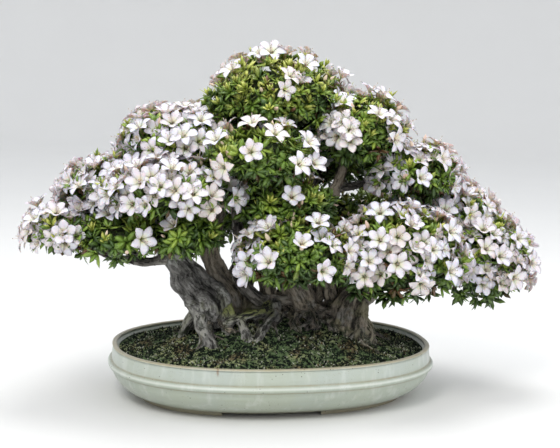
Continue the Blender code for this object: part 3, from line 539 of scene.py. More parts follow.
def make_soil():
    """The lumpy top, a wall down inside the pot and a flat bottom, with the shoots on it."""
    top = soil_top(np.linspace(1, 0.004, SOIL_RINGS)[:, None], even_turns(POT_SEGMENTS)[None])
    floor = oval([INNER_FLOOR_OFFSET - 0.0004], [FLOOR_HEIGHT + 0.0004])
    body = closed_loft(np.concatenate((floor, top)))
    body = (*body, np.zeros((len(body[0]), 3)))
    shoots = moss_shoots(np.random.default_rng(SEED + 1))
    points, faces, looks = merge([body, shoots])
    picks = np.repeat((0, 1), (len(body[1]), len(shoots[1])))
    materials = [moss_material(), shoot_material()]
    piece("mossy_soil", points + SHIFT, faces, materials, ["soil"], {"look": looks}, picks)


make_soil()

# The wood: four old trunks, their branches and bare roots, grown together as one piece. The bark is
# grey and fluted on the left trunk, browner elsewhere, with yellow-green lichen on the roots.

# Runs of wood from the foot up and out, with each place as (x, y, z, radius)
TRUNKS = {
    "left": (
        (-0.108, -0.022, 0.122, 0.019), (-0.112, -0.021, 0.148, 0.031), (-0.130, -0.020, 0.178, 0.027),
        (-0.150, -0.019, 0.205, 0.023), (-0.171, -0.016, 0.240, 0.018), (-0.190, -0.012, 0.280, 0.014),
        (-0.184, -0.010, 0.345, 0.010), (-0.180, -0.006, 0.405, 0.006),
    ),
    "leader": (
        (-0.046, 0.020, 0.078, 0.024), (-0.054, 0.018, 0.120, 0.022), (-0.067, 0.014, 0.150, 0.019),
        (-0.082, 0.012, 0.178, 0.017), (-0.098, 0.010, 0.205, 0.017), (-0.110, 0.010, 0.248, 0.015),
        (-0.092, 0.010, 0.320, 0.013), (-0.052, 0.008, 0.395, 0.011), (-0.016, 0.010, 0.470, 0.007),
    ),
    "middle": (
        (0.064, 0.004, 0.080, 0.030), (0.060, 0.000, 0.130, 0.028), (0.046, -0.002, 0.172, 0.021),
        (0.044, 0.000, 0.225, 0.017), (0.050, 0.000, 0.300, 0.013), (0.104, 0.000, 0.352, 0.010),
        (0.122, -0.010, 0.430, 0.006),
    ),
    "right": (
        (0.132, -0.034, 0.078, 0.026), (0.130, -0.038, 0.122, 0.031), (0.140, -0.030, 0.148, 0.024),
        (0.164, -0.010, 0.182, 0.017), (0.215, -0.006, 0.212, 0.013), (0.290, -0.012, 0.214, 0.010),
        (0.352, -0.018, 0.222, 0.006),
    ),
    "raft": (
        (-0.106, -0.014, 0.142, 0.018), (-0.060, 0.012, 0.128, 0.016), (-0.012, 0.002, 0.148, 0.017),
        (0.040, -0.002, 0.146, 0.019), (0.090, -0.016, 0.130, 0.019), (0.132, -0.036, 0.126, 0.020),
    ),
}
BRANCHES = {
    "left_low": (
        (-0.170, -0.016, 0.240, 0.011), (-0.246, -0.030, 0.236, 0.008), (-0.300, -0.034, 0.252, 0.006),
        (-0.345, -0.022, 0.272, 0.004),
    ),
    "left_middle": ((-0.188, -0.012, 0.285, 0.009), (-0.192, -0.072, 0.342, 0.005)),
    "centre": (
        (-0.006, 0.000, 0.152, 0.015), (-0.038, -0.004, 0.176, 0.012), (-0.058, -0.018, 0.206, 0.010),
        (-0.070, -0.046, 0.268, 0.009), (-0.080, -0.080, 0.335, 0.007), (-0.060, -0.104, 0.402, 0.004),
    ),
    "centre_leafy": ((0.048, 0.000, 0.268, 0.008), (-0.004, -0.038, 0.318, 0.005)),
    "front_low": (
        (0.044, -0.004, 0.178, 0.010), (0.026, -0.066, 0.222, 0.008), (0.014, -0.116, 0.256, 0.005),
    ),
    "right_middle": (
        (0.104, 0.000, 0.352, 0.008), (0.180, -0.004, 0.368, 0.006), (0.242, -0.010, 0.386, 0.004),
    ),
    "right_low": (
        (0.170, -0.008, 0.186, 0.011), (0.178, -0.056, 0.222, 0.008), (0.184, -0.100, 0.250, 0.005),
    ),
    "right_far": (
        (0.222, -0.006, 0.212, 0.009), (0.262, 0.010, 0.258, 0.007), (0.296, 0.020, 0.296, 0.004),
    ),
    "back_left": (
        (-0.174, -0.014, 0.248, 0.010), (-0.204, 0.050, 0.276, 0.008), (-0.224, 0.108, 0.310, 0.005),
    ),
    "back_low": (
        (-0.074, 0.014, 0.168, 0.011), (-0.044, 0.090, 0.228, 0.008), (-0.022, 0.154, 0.286, 0.005),
    ),
    "back_right": (
        (0.158, -0.008, 0.178, 0.010), (0.182, 0.072, 0.214, 0.008), (0.202, 0.132, 0.256, 0.005),
    ),
    "back_left_high": (
        (-0.092, 0.012, 0.318, 0.009), (-0.102, 0.066, 0.368, 0.007), (-0.112, 0.106, 0.412, 0.004),
    ),
    "back_right_high": (
        (0.050, 0.002, 0.292, 0.009), (0.082, 0.060, 0.346, 0.007), (0.112, 0.106, 0.392, 0.004),
    ),
}
ROOTS = (
    ((-0.132, -0.024, 0.148, 0.014), (-0.129, -0.052, 0.124, 0.009), (-0.127, -0.066, 0.112, 0.008),
     (-0.142, -0.084, 0.074, 0.005)),
    ((-0.128, -0.062, 0.116, 0.007), (-0.117, -0.082, 0.100, 0.006), (-0.112, -0.092, 0.074, 0.004)),
    ((-0.134, -0.016, 0.140, 0.010), (-0.152, -0.012, 0.110, 0.007), (-0.160, -0.002, 0.074, 0.005)),
    ((-0.116, -0.010, 0.140, 0.013), (-0.134, 0.020, 0.112, 0.010), (-0.146, 0.060, 0.072, 0.006)),
    ((-0.106, -0.018, 0.134, 0.015), (-0.100, -0.016, 0.108, 0.012), (-0.098, -0.012, 0.074, 0.009)),
    ((-0.096, -0.026, 0.144, 0.016), (-0.084, -0.034, 0.130, 0.012), (-0.078, -0.044, 0.076, 0.008)),
    ((-0.006, -0.010, 0.148, 0.010), (-0.025, -0.035, 0.146, 0.008), (-0.059, -0.046, 0.138, 0.007),
     (-0.088, -0.054, 0.131, 0.006)),
    ((-0.086, -0.052, 0.132, 0.006), (-0.087, -0.056, 0.112, 0.005), (-0.088, -0.058, 0.074, 0.004)),
    ((-0.066, -0.048, 0.136, 0.006), (-0.057, -0.065, 0.119, 0.008), (-0.054, -0.080, 0.106, 0.008),
     (-0.072, -0.094, 0.076, 0.006)),
    ((0.000, -0.010, 0.150, 0.011), (-0.004, -0.032, 0.134, 0.009), (-0.024, -0.056, 0.124, 0.007),
     (-0.040, -0.084, 0.108, 0.006), (-0.048, -0.104, 0.076, 0.004)),
    ((0.026, -0.012, 0.140, 0.012), (0.024, -0.056, 0.118, 0.009), (-0.002, -0.092, 0.076, 0.005)),
    ((0.060, -0.016, 0.136, 0.012), (0.060, -0.060, 0.116, 0.008), (0.050, -0.092, 0.076, 0.005)),
    ((0.116, -0.050, 0.124, 0.011), (0.108, -0.070, 0.112, 0.009), (0.114, -0.092, 0.076, 0.006)),
    ((0.130, -0.052, 0.120, 0.011), (0.131, -0.078, 0.104, 0.008), (0.124, -0.098, 0.076, 0.005)),
    ((0.144, -0.044, 0.126, 0.012), (0.157, -0.068, 0.108, 0.009), (0.134, -0.096, 0.076, 0.006)),
    ((0.104, -0.040, 0.124, 0.009), (0.088, -0.060, 0.114, 0.006), (0.080, -0.072, 0.076, 0.005)),
    ((-0.044, 0.030, 0.122, 0.013), (-0.046, 0.066, 0.100, 0.009), (-0.056, 0.100, 0.072, 0.006)),
    ((0.058, 0.018, 0.124, 0.013), (0.060, 0.058, 0.102, 0.009), (0.054, 0.098, 0.072, 0.006)),
    ((0.146, -0.018, 0.126, 0.013), (0.168, 0.036, 0.102, 0.009), (0.184, 0.080, 0.072, 0.006)),
)
WOOD_VOXEL = 0.0028
FINE_ROOTS = 90
CORE_GIRTH, STRAND_PLACE, STRAND_GIRTH = 0.74, 0.72, (0.22, 0.44)
CORE_SIDES, STRAND_SIDES = 14, 8
FURROW_SIZE, KNOT_SIZE, FURROW_HEIGHT, FURROW_SHARE = 0.011, 0.026, 0.0044, 0.20
ROOT_LIFT = 0.0025
FINE_ROOT_RADII, FINE_ROOT_STEPS = (0.0024, 0.0054), (0.006, 0.015)
# Stems at the back of the wood that rise from the raft into the pads
BACK_STEMS = (
    ((-0.004, 0.010, 0.140, 0.015), (-0.002, 0.018, 0.178, 0.013), (-0.016, 0.060, 0.250, 0.007)),
    ((0.020, 0.010, 0.140, 0.015), (0.026, 0.018, 0.174, 0.012), (0.014, 0.040, 0.250, 0.006)),
    ((0.074, 0.006, 0.140, 0.015), (0.079, 0.016, 0.175, 0.013), (0.092, 0.060, 0.240, 0.007)),
    ((0.112, -0.006, 0.124, 0.016), (0.120, 0.014, 0.160, 0.015), (0.130, 0.036, 0.195, 0.012),
     (0.150, 0.070, 0.240, 0.006)),
    ((-0.046, 0.010, 0.130, 0.013), (-0.047, 0.016, 0.162, 0.011), (-0.040, 0.030, 0.200, 0.008),
     (-0.056, 0.040, 0.250, 0.005)),
    ((0.100, -0.010, 0.130, 0.014), (0.102, 0.000, 0.168, 0.012), (0.088, -0.030, 0.215, 0.006)),
)
# How brown each trunk is, from 0 for grey to 1
WOOD_BROWNS = {"left": 0.0, "leader": 0.75, "middle": 0.85, "right": 0.80, "raft": 0.60}
# Places on the wood's foot where the fine roots start
ROOT_STARTS = (
    (-0.108, -0.030, 0.136), (-0.040, 0.000, 0.136), (-0.006, -0.010, 0.140), (0.030, -0.014, 0.138),
    (0.060, -0.020, 0.132), (0.100, -0.030, 0.126), (0.130, -0.050, 0.120), (0.140, -0.040, 0.122),
)


def frames_along(route):
    """The way along a route at each place, and two ways square to it that twist as little as
    they can: each side is the last one, laid square to the new way."""
    runs = unit(np.diff(route, axis=0))
    ways = unit(np.vstack((runs[:1], runs[:-1] + runs[1:], runs[-1:])))
    side = square_to(ways[0])[0]
    sides = []
    for way in ways:
        side = unit(side - way * (side @ way))
        sides.append(side)
    return ways, np.array(sides), np.cross(ways, np.array(sides))


def lengths_along(route):
    """How far along a route each of its places is: the sum of the steps so far."""
    return np.concatenate(([0.0], np.cumsum(np.linalg.norm(np.diff(route, axis=0), axis=1))))


def tube(route, radii, sides):
    """A closed tube: rings square to a route, each of its own radius."""
    _, side, other = frames_along(route)
    turns = even_turns(sides)
    ring = np.cos(turns)[:, None] * side[:, None] + np.sin(turns)[:, None] * other[:, None]
    return closed_loft(route[:, None] + np.asarray(radii)[:, None, None] * ring)


def roped(run, samples, strands, wander, rng):
    """A run of old wood as a rope: a core tube, and strands laid round it that wind slowly and
    wander, by smooth noise of the length. The line wanders too. Each strand's place is the
    route's plus a share of the girth out at its own angle."""
    curve = run_points(run, samples)
    route, radii = curve[:, :3].copy(), curve[:, 3]
    length = lengths_along(route)
    key = np.stack((length, np.full_like(length, rng.uniform(0, 50)), 0 * length), axis=1)
    drift = np.stack([noise(key, 0.040, seed, 2) for seed in (1, 2, 3)], axis=1)
    hold = np.minimum(1, np.minimum(length, length[-1] - length) / 0.03)[:, None]
    route += wander * radii[:, None] * drift * hold
    radii = radii * (1 + 0.16 * noise(key, 0.030, 4, 2))
    parts = [tube(route, CORE_GIRTH * radii, CORE_SIDES)]
    _, side, other = frames_along(route)
    twist = rng.uniform(-9, 9)
    for strand in range(strands):
        own = key + strand * 3.1
        turn = strand * TURN / strands + twist * length + 0.9 * noise(own, 0.05, 5, 2)
        girth = rng.uniform(*STRAND_GIRTH) * (1 + 0.30 * noise(own, 0.022, 6, 2))
        out = radii * STRAND_PLACE * (1 + 0.10 * noise(own, 0.035, 7, 1))
        line = route + out[:, None] * (np.cos(turn)[:, None] * side + np.sin(turn)[:, None] * other)
        parts.append(tube(line, radii * girth, STRAND_SIDES))
    return merge(parts), route, radii


def fine_root(rng):
    """A thin root: it leaves the wood's foot, winds outward and down over the moss by a random
    walk, and ends under it."""
    place = np.array(ROOT_STARTS[rng.integers(len(ROOT_STARTS))]) + rng.normal(0, 0.008, 3) * (1, 1, 0.5)
    start = place[2] - mound_height(place)
    heading = rng.uniform(-2.8, -0.3) if rng.random() < 0.8 else rng.uniform(0.2, 2.9)
    radius = rng.uniform(*FINE_ROOT_RADII)
    places = []
    for share in np.linspace(0, 1, 8):
        lift = max(start, 0.006) * (1 - share) ** 2 + 0.003 - 0.009 * share**3
        places.append((place[0], place[1], mound_height(place) + lift, radius * (1 - 0.55 * share)))
        heading += rng.normal(0, 0.45)
        step = rng.uniform(*FINE_ROOT_STEPS)
        place = place + step * np.array((math.cos(heading), math.sin(heading), 0.0))
    return places


def wood_solids(rng):
    """Every trunk, branch and root as a rope of strands, with its route and how brown it is, from
    0 to 1 on the trunks and branches and from 1 to 2 on the roots."""
    made = [(*roped(run, 12, 9, 0.45, rng), WOOD_BROWNS[name]) for name, run in TRUNKS.items()]
    made += [(*roped(run, 10, 5, 0.70, rng), 0.35) for run in BRANCHES.values()]
    made += [(*roped(run, 10, 4, 0.90, rng), 0.9) for run in BACK_STEMS]
    lifted = [np.array(run) + (0, 0, ROOT_LIFT, ROOT_LIFT / 2) for run in ROOTS]
    made += [(*roped(run, 12, 4, 0.80, rng), 1.9 if run[0][0] > 0.02 else 1.15) for run in lifted]
    made += [(*roped(fine_root(rng), 6, 0, 0.9, rng), rng.uniform(1.1, 2.0)) for _ in range(FINE_ROOTS)]
    return made


def threes(rows, field, kind=np.float32):
    """Three numbers of each of a mesh's points or triangles, as an array."""
    values = np.empty(len(rows) * 3, kind)
    rows.foreach_get(field, values)
    return values.reshape(-1, 3)


def remeshed(points, faces, voxel):
    """Joins crossing solids into one skin by a voxel remesh: its points, normals and triangles."""
    bundle = rough("strands", points, faces)
    remesh = bundle.modifiers.new("remesh", "REMESH")
    remesh.mode, remesh.voxel_size, remesh.use_smooth_shade = "VOXEL", voxel, True
    soften = bundle.modifiers.new("soften", "SMOOTH")
    soften.factor, soften.iterations = 0.5, 1
    skin = applied(bundle)
    bpy.data.objects.remove(bundle)
    skin.calc_loop_triangles()
    places, normals = threes(skin.vertices, "co"), threes(skin.vertices, "normal")
    return places.astype(float), normals.astype(float), threes(skin.loop_triangles, "vertices", np.int32)


def grain_of(skin, solids):
    """Where each point lies on its nearest wood: (across, across, length / 3) so that a pattern
    on it runs with the wood, the girth there, and how brown that wood is."""
    rows, start = [], 0.0
    for _, route, radii, brown in solids:
        _, side, other = frames_along(route)
        length = start + lengths_along(route)
        rows.append(np.column_stack((route, side, other, length, radii, np.full(len(route), brown))))
        start = length[-1] + 0.3
    rows = np.vstack(rows)
    nearest = np.empty(len(skin), int)
    for low in range(0, len(skin), 4096):
        away = np.linalg.norm(skin[low : low + 4096, None] - rows[None, :, :3], axis=2)
        nearest[low : low + 4096] = (away - rows[None, :, 10]).argmin(axis=1)
    row = rows[nearest]
    away = skin - row[:, :3]
    across, other = np.sum(away * row[:, 3:6], axis=1), np.sum(away * row[:, 6:9], axis=1)
    return np.stack((across, other, row[:, 9] / 3), axis=1), row[:, 10], row[:, 11]


def bark_material():
    """Weathered bark: pale ridges over dark furrows that run with the grain, grey or brown by the
    wood's own tone, with painted shade deep between strands and painted light where the skin stands
    out. The roots are bleached, with yellow-green lichen on top of the arched one."""
    bark = Surface("bark_fine", Metallic=0.0)
    grain = bark.look("grain")
    hollow, brown, root = bark.look("look").parts()
    ridges = grain.noise(190.0, 6.0, 0.70)
    broad = grain.noise(60.0, 4.0, 0.60)
    patches = bark.place.noise(26.0, 4.0, 0.6)
    tone = ridges.span(0.36, 0.64) * 0.55 + broad.span(0.34, 0.66) * 0.25
    # Painted shade and light: darker deep between strands, lighter where the skin stands out
    tone = (tone + hollow * 0.35 - 0.12).span(0.0, 1.0)
    grey = tone.mix((0.011, 0.010, 0.009), (0.29, 0.28, 0.265))
    # Pale weathered ridges, lighter still as painted light where the skin stands out
    grey = (tone.span(0.55, 0.90) * patches.span(0.46, 0.60)).mix(grey, (0.50, 0.50, 0.48))
    warm = tone.mix((0.014, 0.012, 0.008), (0.450, 0.385, 0.300))
    base = (brown * (0.65 + 0.7 * patches) + (patches - 0.5) * 0.4).span(0.05, 0.95).mix(grey, warm)
    low = bark.z.span(0.205, 0.135)
    pale = low * bark.place.noise(40.0, 4.0).span(0.54, 0.64) * tone
    base = (pale * 0.70).mix(base, (0.48, 0.48, 0.46))
    bleached = brown.mix((0.50, 0.50, 0.47), (0.46, 0.39, 0.31))
    base = (root * tone.span(0.15, 0.75) * patches.span(0.36, 0.52) * 0.85).mix(base, bleached)
    arched = bark.x.span(-0.120, -0.105) * bark.x.span(-0.018, -0.030) * bark.z.span(0.136, 0.150)
    facing = bark.place.add("ShaderNodeNewGeometry", {}, {}, "Normal").parts()[2].span(-0.4, 0.3)
    lichen = (low * patches.span(0.50, 0.60) * 0.35 + root * arched * 1.2) * tone.span(0.05, 0.4) * facing
    base = (lichen * 0.80).mix(base, (0.26, 0.285, 0.095))
    moss = bark.z.span(0.165, 0.115) * bark.place.noise(55.0, 4.0).span(0.50, 0.60) * tone.span(0.7, 0.2)
    base = (moss * 0.8).mix(base, (0.030, 0.045, 0.018))
    bark.link("Base Color", base)
    bark.link("Roughness", 0.95 - 0.2 * ridges)
    bark.bump(ridges * 1.0 + broad * 0.5, 0.008, 1.0)
    return bark.material


def make_wood():
    """All the strands joined into one skin, furrowed by noise folded into creases along the grain
    and made knobbly by noise in space. Its look is how far out a point stands, which the bark
    turns into painted shade deep between strands and painted light where it stands out, how brown
    it is and whether it is a root."""
    solids = wood_solids(np.random.default_rng(SEED))
    points, faces = merge([solid[0] for solid in solids])
    skin, normals, faces = remeshed(points, faces, WOOD_VOXEL)
    grain, girth, brown = grain_of(skin, solids)
    furrows = 1 - 2.6 * np.abs(noise(grain, FURROW_SIZE, 11, 3))
    knots = noise(skin, KNOT_SIZE, 21, 3)
    rise = 0.55 * furrows + 1.3 * knots
    out = np.linalg.norm(grain[:, :2], axis=1) / girth
    # Depth of the skin: the bark paints shade deep between strands and light where it stands out
    hollow = np.clip((out - 0.76) / 0.30, 0, 1.2) + 0.25 * rise
    looks = np.stack((hollow, np.where(brown > 1, brown - 1, brown), brown > 1), axis=1)
    skin = skin + normals * (np.minimum(FURROW_HEIGHT, FURROW_SHARE * girth) * rise)[:, None]
    looks = {"grain": grain, "look": looks}
    piece("fluted_wood", skin + SHIFT, faces, [bark_material()], ["tree"], looks)


make_wood()

# The foliage pads: layers of twigs that the grower has trained flat, dense with small narrow leaves
# in whorls. New shoots are yellow-green, and the inside of a pad is dark with painted shade.

GOLDEN_TURN = math.pi * (3 - math.sqrt(5))
# Each pad: centre, half sizes, share of the height its underside keeps, freshness, and extra blooms
PADS = {
    "crown": ((0.004, 0.010, 0.494), (0.112, 0.095, 0.074), 0.70, 0.95, 0.22),
    "left_upper": ((-0.176, 0.000, 0.424), (0.074, 0.080, 0.050), 0.70, 0.45, 0.95),
    "left_outer": ((-0.282, -0.004, 0.346), (0.062, 0.072, 0.042), 0.70, 0.45, 0.95),
    "left_middle": ((-0.186, -0.092, 0.352), (0.094, 0.060, 0.044), 0.70, 0.55, 0.88),
    "left_tip": ((-0.356, -0.024, 0.284), (0.050, 0.060, 0.038), 0.70, 0.45, 0.80),
    "left_low": ((-0.268, -0.064, 0.274), (0.068, 0.060, 0.036), 0.75, 0.60, 0.15),
    "left_inner": ((-0.158, -0.084, 0.282), (0.052, 0.046, 0.032), 0.80, 0.25, 0.05),
    "centre": ((-0.050, -0.112, 0.408), (0.078, 0.056, 0.048), 0.75, 0.55, 0.10),
    "centre_leafy": ((0.000, -0.070, 0.328), (0.084, 0.062, 0.040), 0.80, 0.60, 0.05),
    "front_low": ((0.014, -0.134, 0.256), (0.086, 0.060, 0.052), 0.85, 0.75, 0.25),
    "right_upper": ((0.142, -0.016, 0.450), (0.068, 0.080, 0.058), 0.90, 0.70, 0.50),
    "right_middle": ((0.238, -0.010, 0.378), (0.068, 0.072, 0.048), 0.75, 0.65, 0.50),
    "right_low": ((0.188, -0.120, 0.248), (0.096, 0.064, 0.074), 0.90, 0.65, 0.65),
    "right_tip": ((0.366, -0.020, 0.224), (0.076, 0.074, 0.074), 0.90, 0.55, 0.80),
    "right_far": ((0.306, 0.024, 0.308), (0.078, 0.072, 0.042), 0.80, 0.60, 0.80),
    "back_left": ((-0.226, 0.108, 0.326), (0.104, 0.070, 0.052), 0.80, 0.50, 0.30),
    "back_low": ((-0.020, 0.150, 0.298), (0.104, 0.068, 0.056), 0.85, 0.50, 0.25),
    "back_right": ((0.206, 0.138, 0.262), (0.104, 0.070, 0.062), 0.85, 0.55, 0.30),
    "back_left_high": ((-0.104, 0.112, 0.422), (0.080, 0.062, 0.050), 0.75, 0.60, 0.40),
    "back_right_high": ((0.116, 0.112, 0.404), (0.084, 0.062, 0.052), 1.20, 0.60, 0.40),
}
WHORL_SPACING, WHORL_LEAVES, SHOOT_LEAVES = 0.0174, 7, 5
WHORL_DEPTHS, LEAF_LENGTHS, LEAF_WIDTHS = (-0.021, 0.004), (0.0195, 0.0275), (0.17, 0.235)
CELL_SHARE = 0.9
CORE_SHARE, CORE_RINGS, CORE_SEGMENTS = 0.74, 18, 30
BOX_ROOM = 0.010


def spread(count, phase):
    """Directions spread evenly over a sphere: even steps in height, and a golden turn each."""
    steps = np.arange(count)
    heights = 1 - (2 * steps + 1) / count
    turns = steps * GOLDEN_TURN + phase
    widths = np.sqrt(1 - heights**2)
    return np.stack((widths * np.cos(turns), widths * np.sin(turns), heights), axis=1)


def pad_shape(pad):
    """A pad's centre and half sizes, and those of its flatter underside."""
    centre, half, below = PADS[pad][:3]
    return np.array(centre), np.array(half), np.array(half) * (1.0, 1.0, below)


def pad_area(pad):
    """About the area of a pad: that of a sphere of the same mean product of half sizes."""
    a, b, c = PADS[pad][1]
    return 4 * math.pi * (a * b + b * c + c * a) / 3


def pad_surface(pad, ways, lift=0.0):
    """Points of a pad's surface, which is an ellipsoid with a flatter underside, in directions
    ways, and lifted along its normals."""
    centre, half, under = pad_shape(pad)
    stretch = np.where(ways[:, 2:] < 0, under, half)
    normals = unit(ways / stretch)
    return centre + ways * stretch + normals * np.reshape(lift, (-1, 1)), normals


def open_to_air(pad, points, margin):
    """Which points lie outside every other pad, each swollen by a margin, and in the CAD's box."""
    free = np.ones(len(points), bool)
    for other in PADS:
        centre, half, under = pad_shape(other)
        away = points - centre
        depth = np.linalg.norm(away / (np.where(away[:, 2:] < 0, under, half) + margin), axis=1)
        free &= (depth > 1) | (other == pad)
    low, high = (np.array(corner) for corner in cad_box)
    placed = points + SHIFT
    return free & np.all((placed > low + BOX_ROOM) & (placed < high - BOX_ROOM), axis=1)


def leaf_template():
    """A narrow leaf along +X, one long: two stations of width with a raised rib between rolled
    edges, over a flat underside. It ends in a point and arches down."""
    points = [(0.0, 0.0, 0.0)]
    for x, width, rise in ((0.30, 0.80, 0.115), (0.66, 0.86, 0.110)):
        points += [(x, width, rise - 0.07), (x, 0.0, rise), (x, -width, rise - 0.07)]
    points.append((1.0, 0.0, -0.02))
    top = [(0, 2, 1), (0, 3, 2), (1, 2, 5), (1, 5, 4), (2, 3, 6), (2, 6, 5), (4, 5, 7), (5, 6, 7)]
    bottom = [(0, 1, 3), (1, 4, 3), (3, 4, 6), (4, 7, 6)]
    return np.array(points), np.array(top + bottom)


def whorls_of_leaves(feet, axes, lengths, young, tones, rise, count, rng):
    """Whorls of leaves: leaf k of a whorl points round its axis by k even turns with some random
    turn, and rises from square to the axis by an angle between the two that rise gives."""
    template, template_faces = leaf_template()
    total = (len(feet), count)
    turns = rng.uniform(0, TURN, (len(feet), 1)) + even_turns(count)
    turns = (turns + rng.normal(0, 0.20, total))[..., None]
    opening = rng.uniform(*rise, total)[..., None]
    side, other = square_to(axes)
    radial = np.cos(turns) * side[:, None] + np.sin(turns) * other[:, None]
    along = unit(np.cos(opening) * radial + np.sin(opening) * axes[:, None])
    up = unit(np.cos(opening) * axes[:, None] - np.sin(opening) * radial)
    across = np.cross(up, along)
    size = (lengths[:, None] * rng.uniform(0.70, 1.12, total))[..., None, None]
    width = size * rng.uniform(*LEAF_WIDTHS, (*total, 1, 1))
    x, y, z = template[:, :1], template[:, 1:2], template[:, 2:]
    points = feet[:, None, None] + size * (x * along[:, :, None] + 0.75 * z * up[:, :, None])
    points = points + width * y * across[:, :, None]
    looks = np.empty(points.shape)
    looks[..., 0] = template[:, 0]
    looks[..., 1] = (young[:, None] + rng.normal(0, 0.12, total))[..., None]
    looks[..., 2] = (tones[:, None] + rng.normal(0, 0.17, total))[..., None]
    faces = repeated(len(template), template_faces, len(feet) * count)
    return points.reshape(-1, 3), faces, looks.reshape(-1, 3)


def pad_core(pad):
    """The mass of twigs and old leaves inside a pad, dark with painted shade: a smaller copy of its
    shape, torn by noise, on a grid of rings from pole to pole."""
    lows = np.linspace(math.pi - 0.05, 0.05, CORE_RINGS)[:, None]
    turns = even_turns(CORE_SEGMENTS)[None]
    around = (np.sin(lows) * np.cos(turns), np.sin(lows) * np.sin(turns), np.cos(lows))
    ways = np.stack(np.broadcast_arrays(*around), axis=-1).reshape(-1, 3)
    surface, _ = pad_surface(pad, ways)
    centre = np.array(PADS[pad][0])
    torn = CORE_SHARE * (1 + 0.20 * noise(surface, 0.024, 51, 2))
    core = centre + (surface - centre) * torn[:, None]
    points, faces = closed_loft(core.reshape(CORE_RINGS, CORE_SEGMENTS, 3))
    return points, faces, np.zeros((len(points), 3))


def leaf_material():
    """Small glossy leaves: dark ones, darkened by painted shade low on a pad and deep inside it, mid
    green ones, yellow-green new ones with paler tips, and a few turned reddish-brown."""
    leaf = Surface("leaf_fine", Metallic=0.0, Coat_Weight=0.25, Coat_Roughness=0.22)
    along, young, tone = leaf.look("look").parts()
    green = tone.span(0.10, 0.75).mix((0.050, 0.100, 0.022), (0.180, 0.300, 0.036))
    green = tone.span(0.72, 1.05).mix(green, (0.315, 0.440, 0.052))
    fresh = along.mix((0.340, 0.440, 0.045), (0.640, 0.640, 0.150))
    base = young.span(0.42, 0.80).mix(green, fresh)
    base = tone.span(0.00, -0.12).mix(base, (0.150, 0.062, 0.028))
    base = (leaf.place.noise(160.0, 2.0).span(0.35, 0.75) * 0.28).mix(base, (0.070, 0.150, 0.030))
    leaf.link("Base Color", base)
    leaf.link("Roughness", 0.32 + 0.22 * leaf.place.noise(60.0, 2.0))
    leaf.bump(leaf.place.noise(420.0, 2.0), 0.0006, 0.5)
    return leaf.material


def inside_material():
    """The dark inside of a pad: brown-black twigs, and old leaves darkened by painted shade."""
    inside = Surface("inside_fine", Metallic=0.0, Roughness=0.9)
    patches = inside.place.noise(150.0, 4.0, 0.65)
    # Painted shade: the old leaves inside the pad go near black
    base = patches.span(0.36, 0.64).mix((0.018, 0.028, 0.012), (0.095, 0.140, 0.042))
    twigs = inside.place.stretched(1.0, 1.0, 3.0).noise(90.0, 3.0).span(0.56, 0.64)
    inside.link("Base Color", (twigs * 0.7).mix(base, (0.095, 0.066, 0.040)))
    inside.bump(patches, 0.006, 1.0)
    return inside.material


LEAF_MATERIALS = [leaf_material(), inside_material()]


def scattered(pad, spacing, uneven, rng):
    """Directions for places on a pad about a spacing apart: one for each cell of its area, turned
    a little by chance."""
    ways = spread(int(pad_area(pad) / (CELL_SHARE * spacing**2)), rng.uniform(0, TURN))
    return unit(ways + rng.normal(0, uneven, ways.shape))


def make_leaves(pad, rng):
    """A pad's dark core, its whorls of leaves at many depths, and its upright new shoots. High on
    a pad and near its surface the leaves are brighter, by their height and their depth, as painted
    light and shade."""
    freshness = PADS[pad][3]
    ways = scattered(pad, WHORL_SPACING, 0.05, rng)
    lifts = rng.uniform(*WHORL_DEPTHS, len(ways))
    feet, normals = pad_surface(pad, ways, lifts)
    feet = feet + normals * 0.009 * noise(feet, 0.040, 61, 2)[:, None]
    chance = np.where(ways[:, 2] < -0.5, 0.7, 1.0)
    keep = open_to_air(pad, feet, -0.012) & (rng.random(len(ways)) < chance)
    feet, normals, ways, lifts = feet[keep], normals[keep], ways[keep], lifts[keep]
    count = len(feet)
    axes = unit(normals + (0, 0, 0.30) + rng.normal(0, 0.32, normals.shape))
    lit = np.clip((ways[:, 2] + 0.6) / 1.4, 0, 1)
    patches = noise(feet, 0.060, 63, 2)
    young = freshness * (0.20 + 0.70 * lit) * rng.uniform(0.2, 1.15, count) + 0.25 * patches
    # Painted light and shade: leaves high on the pad and near its surface get a brighter tone
    tones = 0.26 + 0.50 * lit + 16 * lifts + 0.14 + 0.20 * patches + rng.normal(0, 0.16, count)
    tones = np.where(rng.random(count) < 0.03, -0.15, np.clip(tones, 0.08, 1.1))
    lengths = rng.uniform(*LEAF_LENGTHS, count) * (1.06 - 0.22 * freshness)
    whorls = whorls_of_leaves(feet, axes, lengths, young, tones, (0.0, 1.0), WHORL_LEAVES, rng)
    fresh = np.flatnonzero((rng.random(count) < 0.30 * freshness) & (ways[:, 2] > -0.1))
    bright = np.full(len(fresh), 0.85)
    shoots = whorls_of_leaves(
        feet[fresh] + normals[fresh] * 0.008, unit(axes[fresh] + (0, 0, 0.6)),
        0.8 * lengths[fresh], bright, bright, (0.85, 1.35), SHOOT_LEAVES, rng,
    )
    core = pad_core(pad)
    points, faces, looks = merge([whorls, shoots, core])
    picks = np.repeat((0, 1), (len(whorls[1]) + len(shoots[1]), len(core[1])))
    looks = {"look": looks}
    piece(pad + "_leaves", points + SHIFT, faces, LEAF_MATERIALS, ["leaves_" + pad], looks, picks)


for step, pad_name in enumerate(PADS):
    make_leaves(pad_name, np.random.default_rng(SEED + 100 + step))

# The blooms: open five-lobed flowers, white with a breath of pink and a cream throat. Each has its
# stamens, a longer style and a small green calyx. Buds stand among them.

BLOOM_RADIUS, BLOOM_TILT, BLOOM_SINK = 0.025, 0.16, 0.10
BUD_LENGTHS = (0.011, 0.021)
LOBES = 5
TRIAL_SPACING, EXTRA_SPACING = 0.014, 0.0188
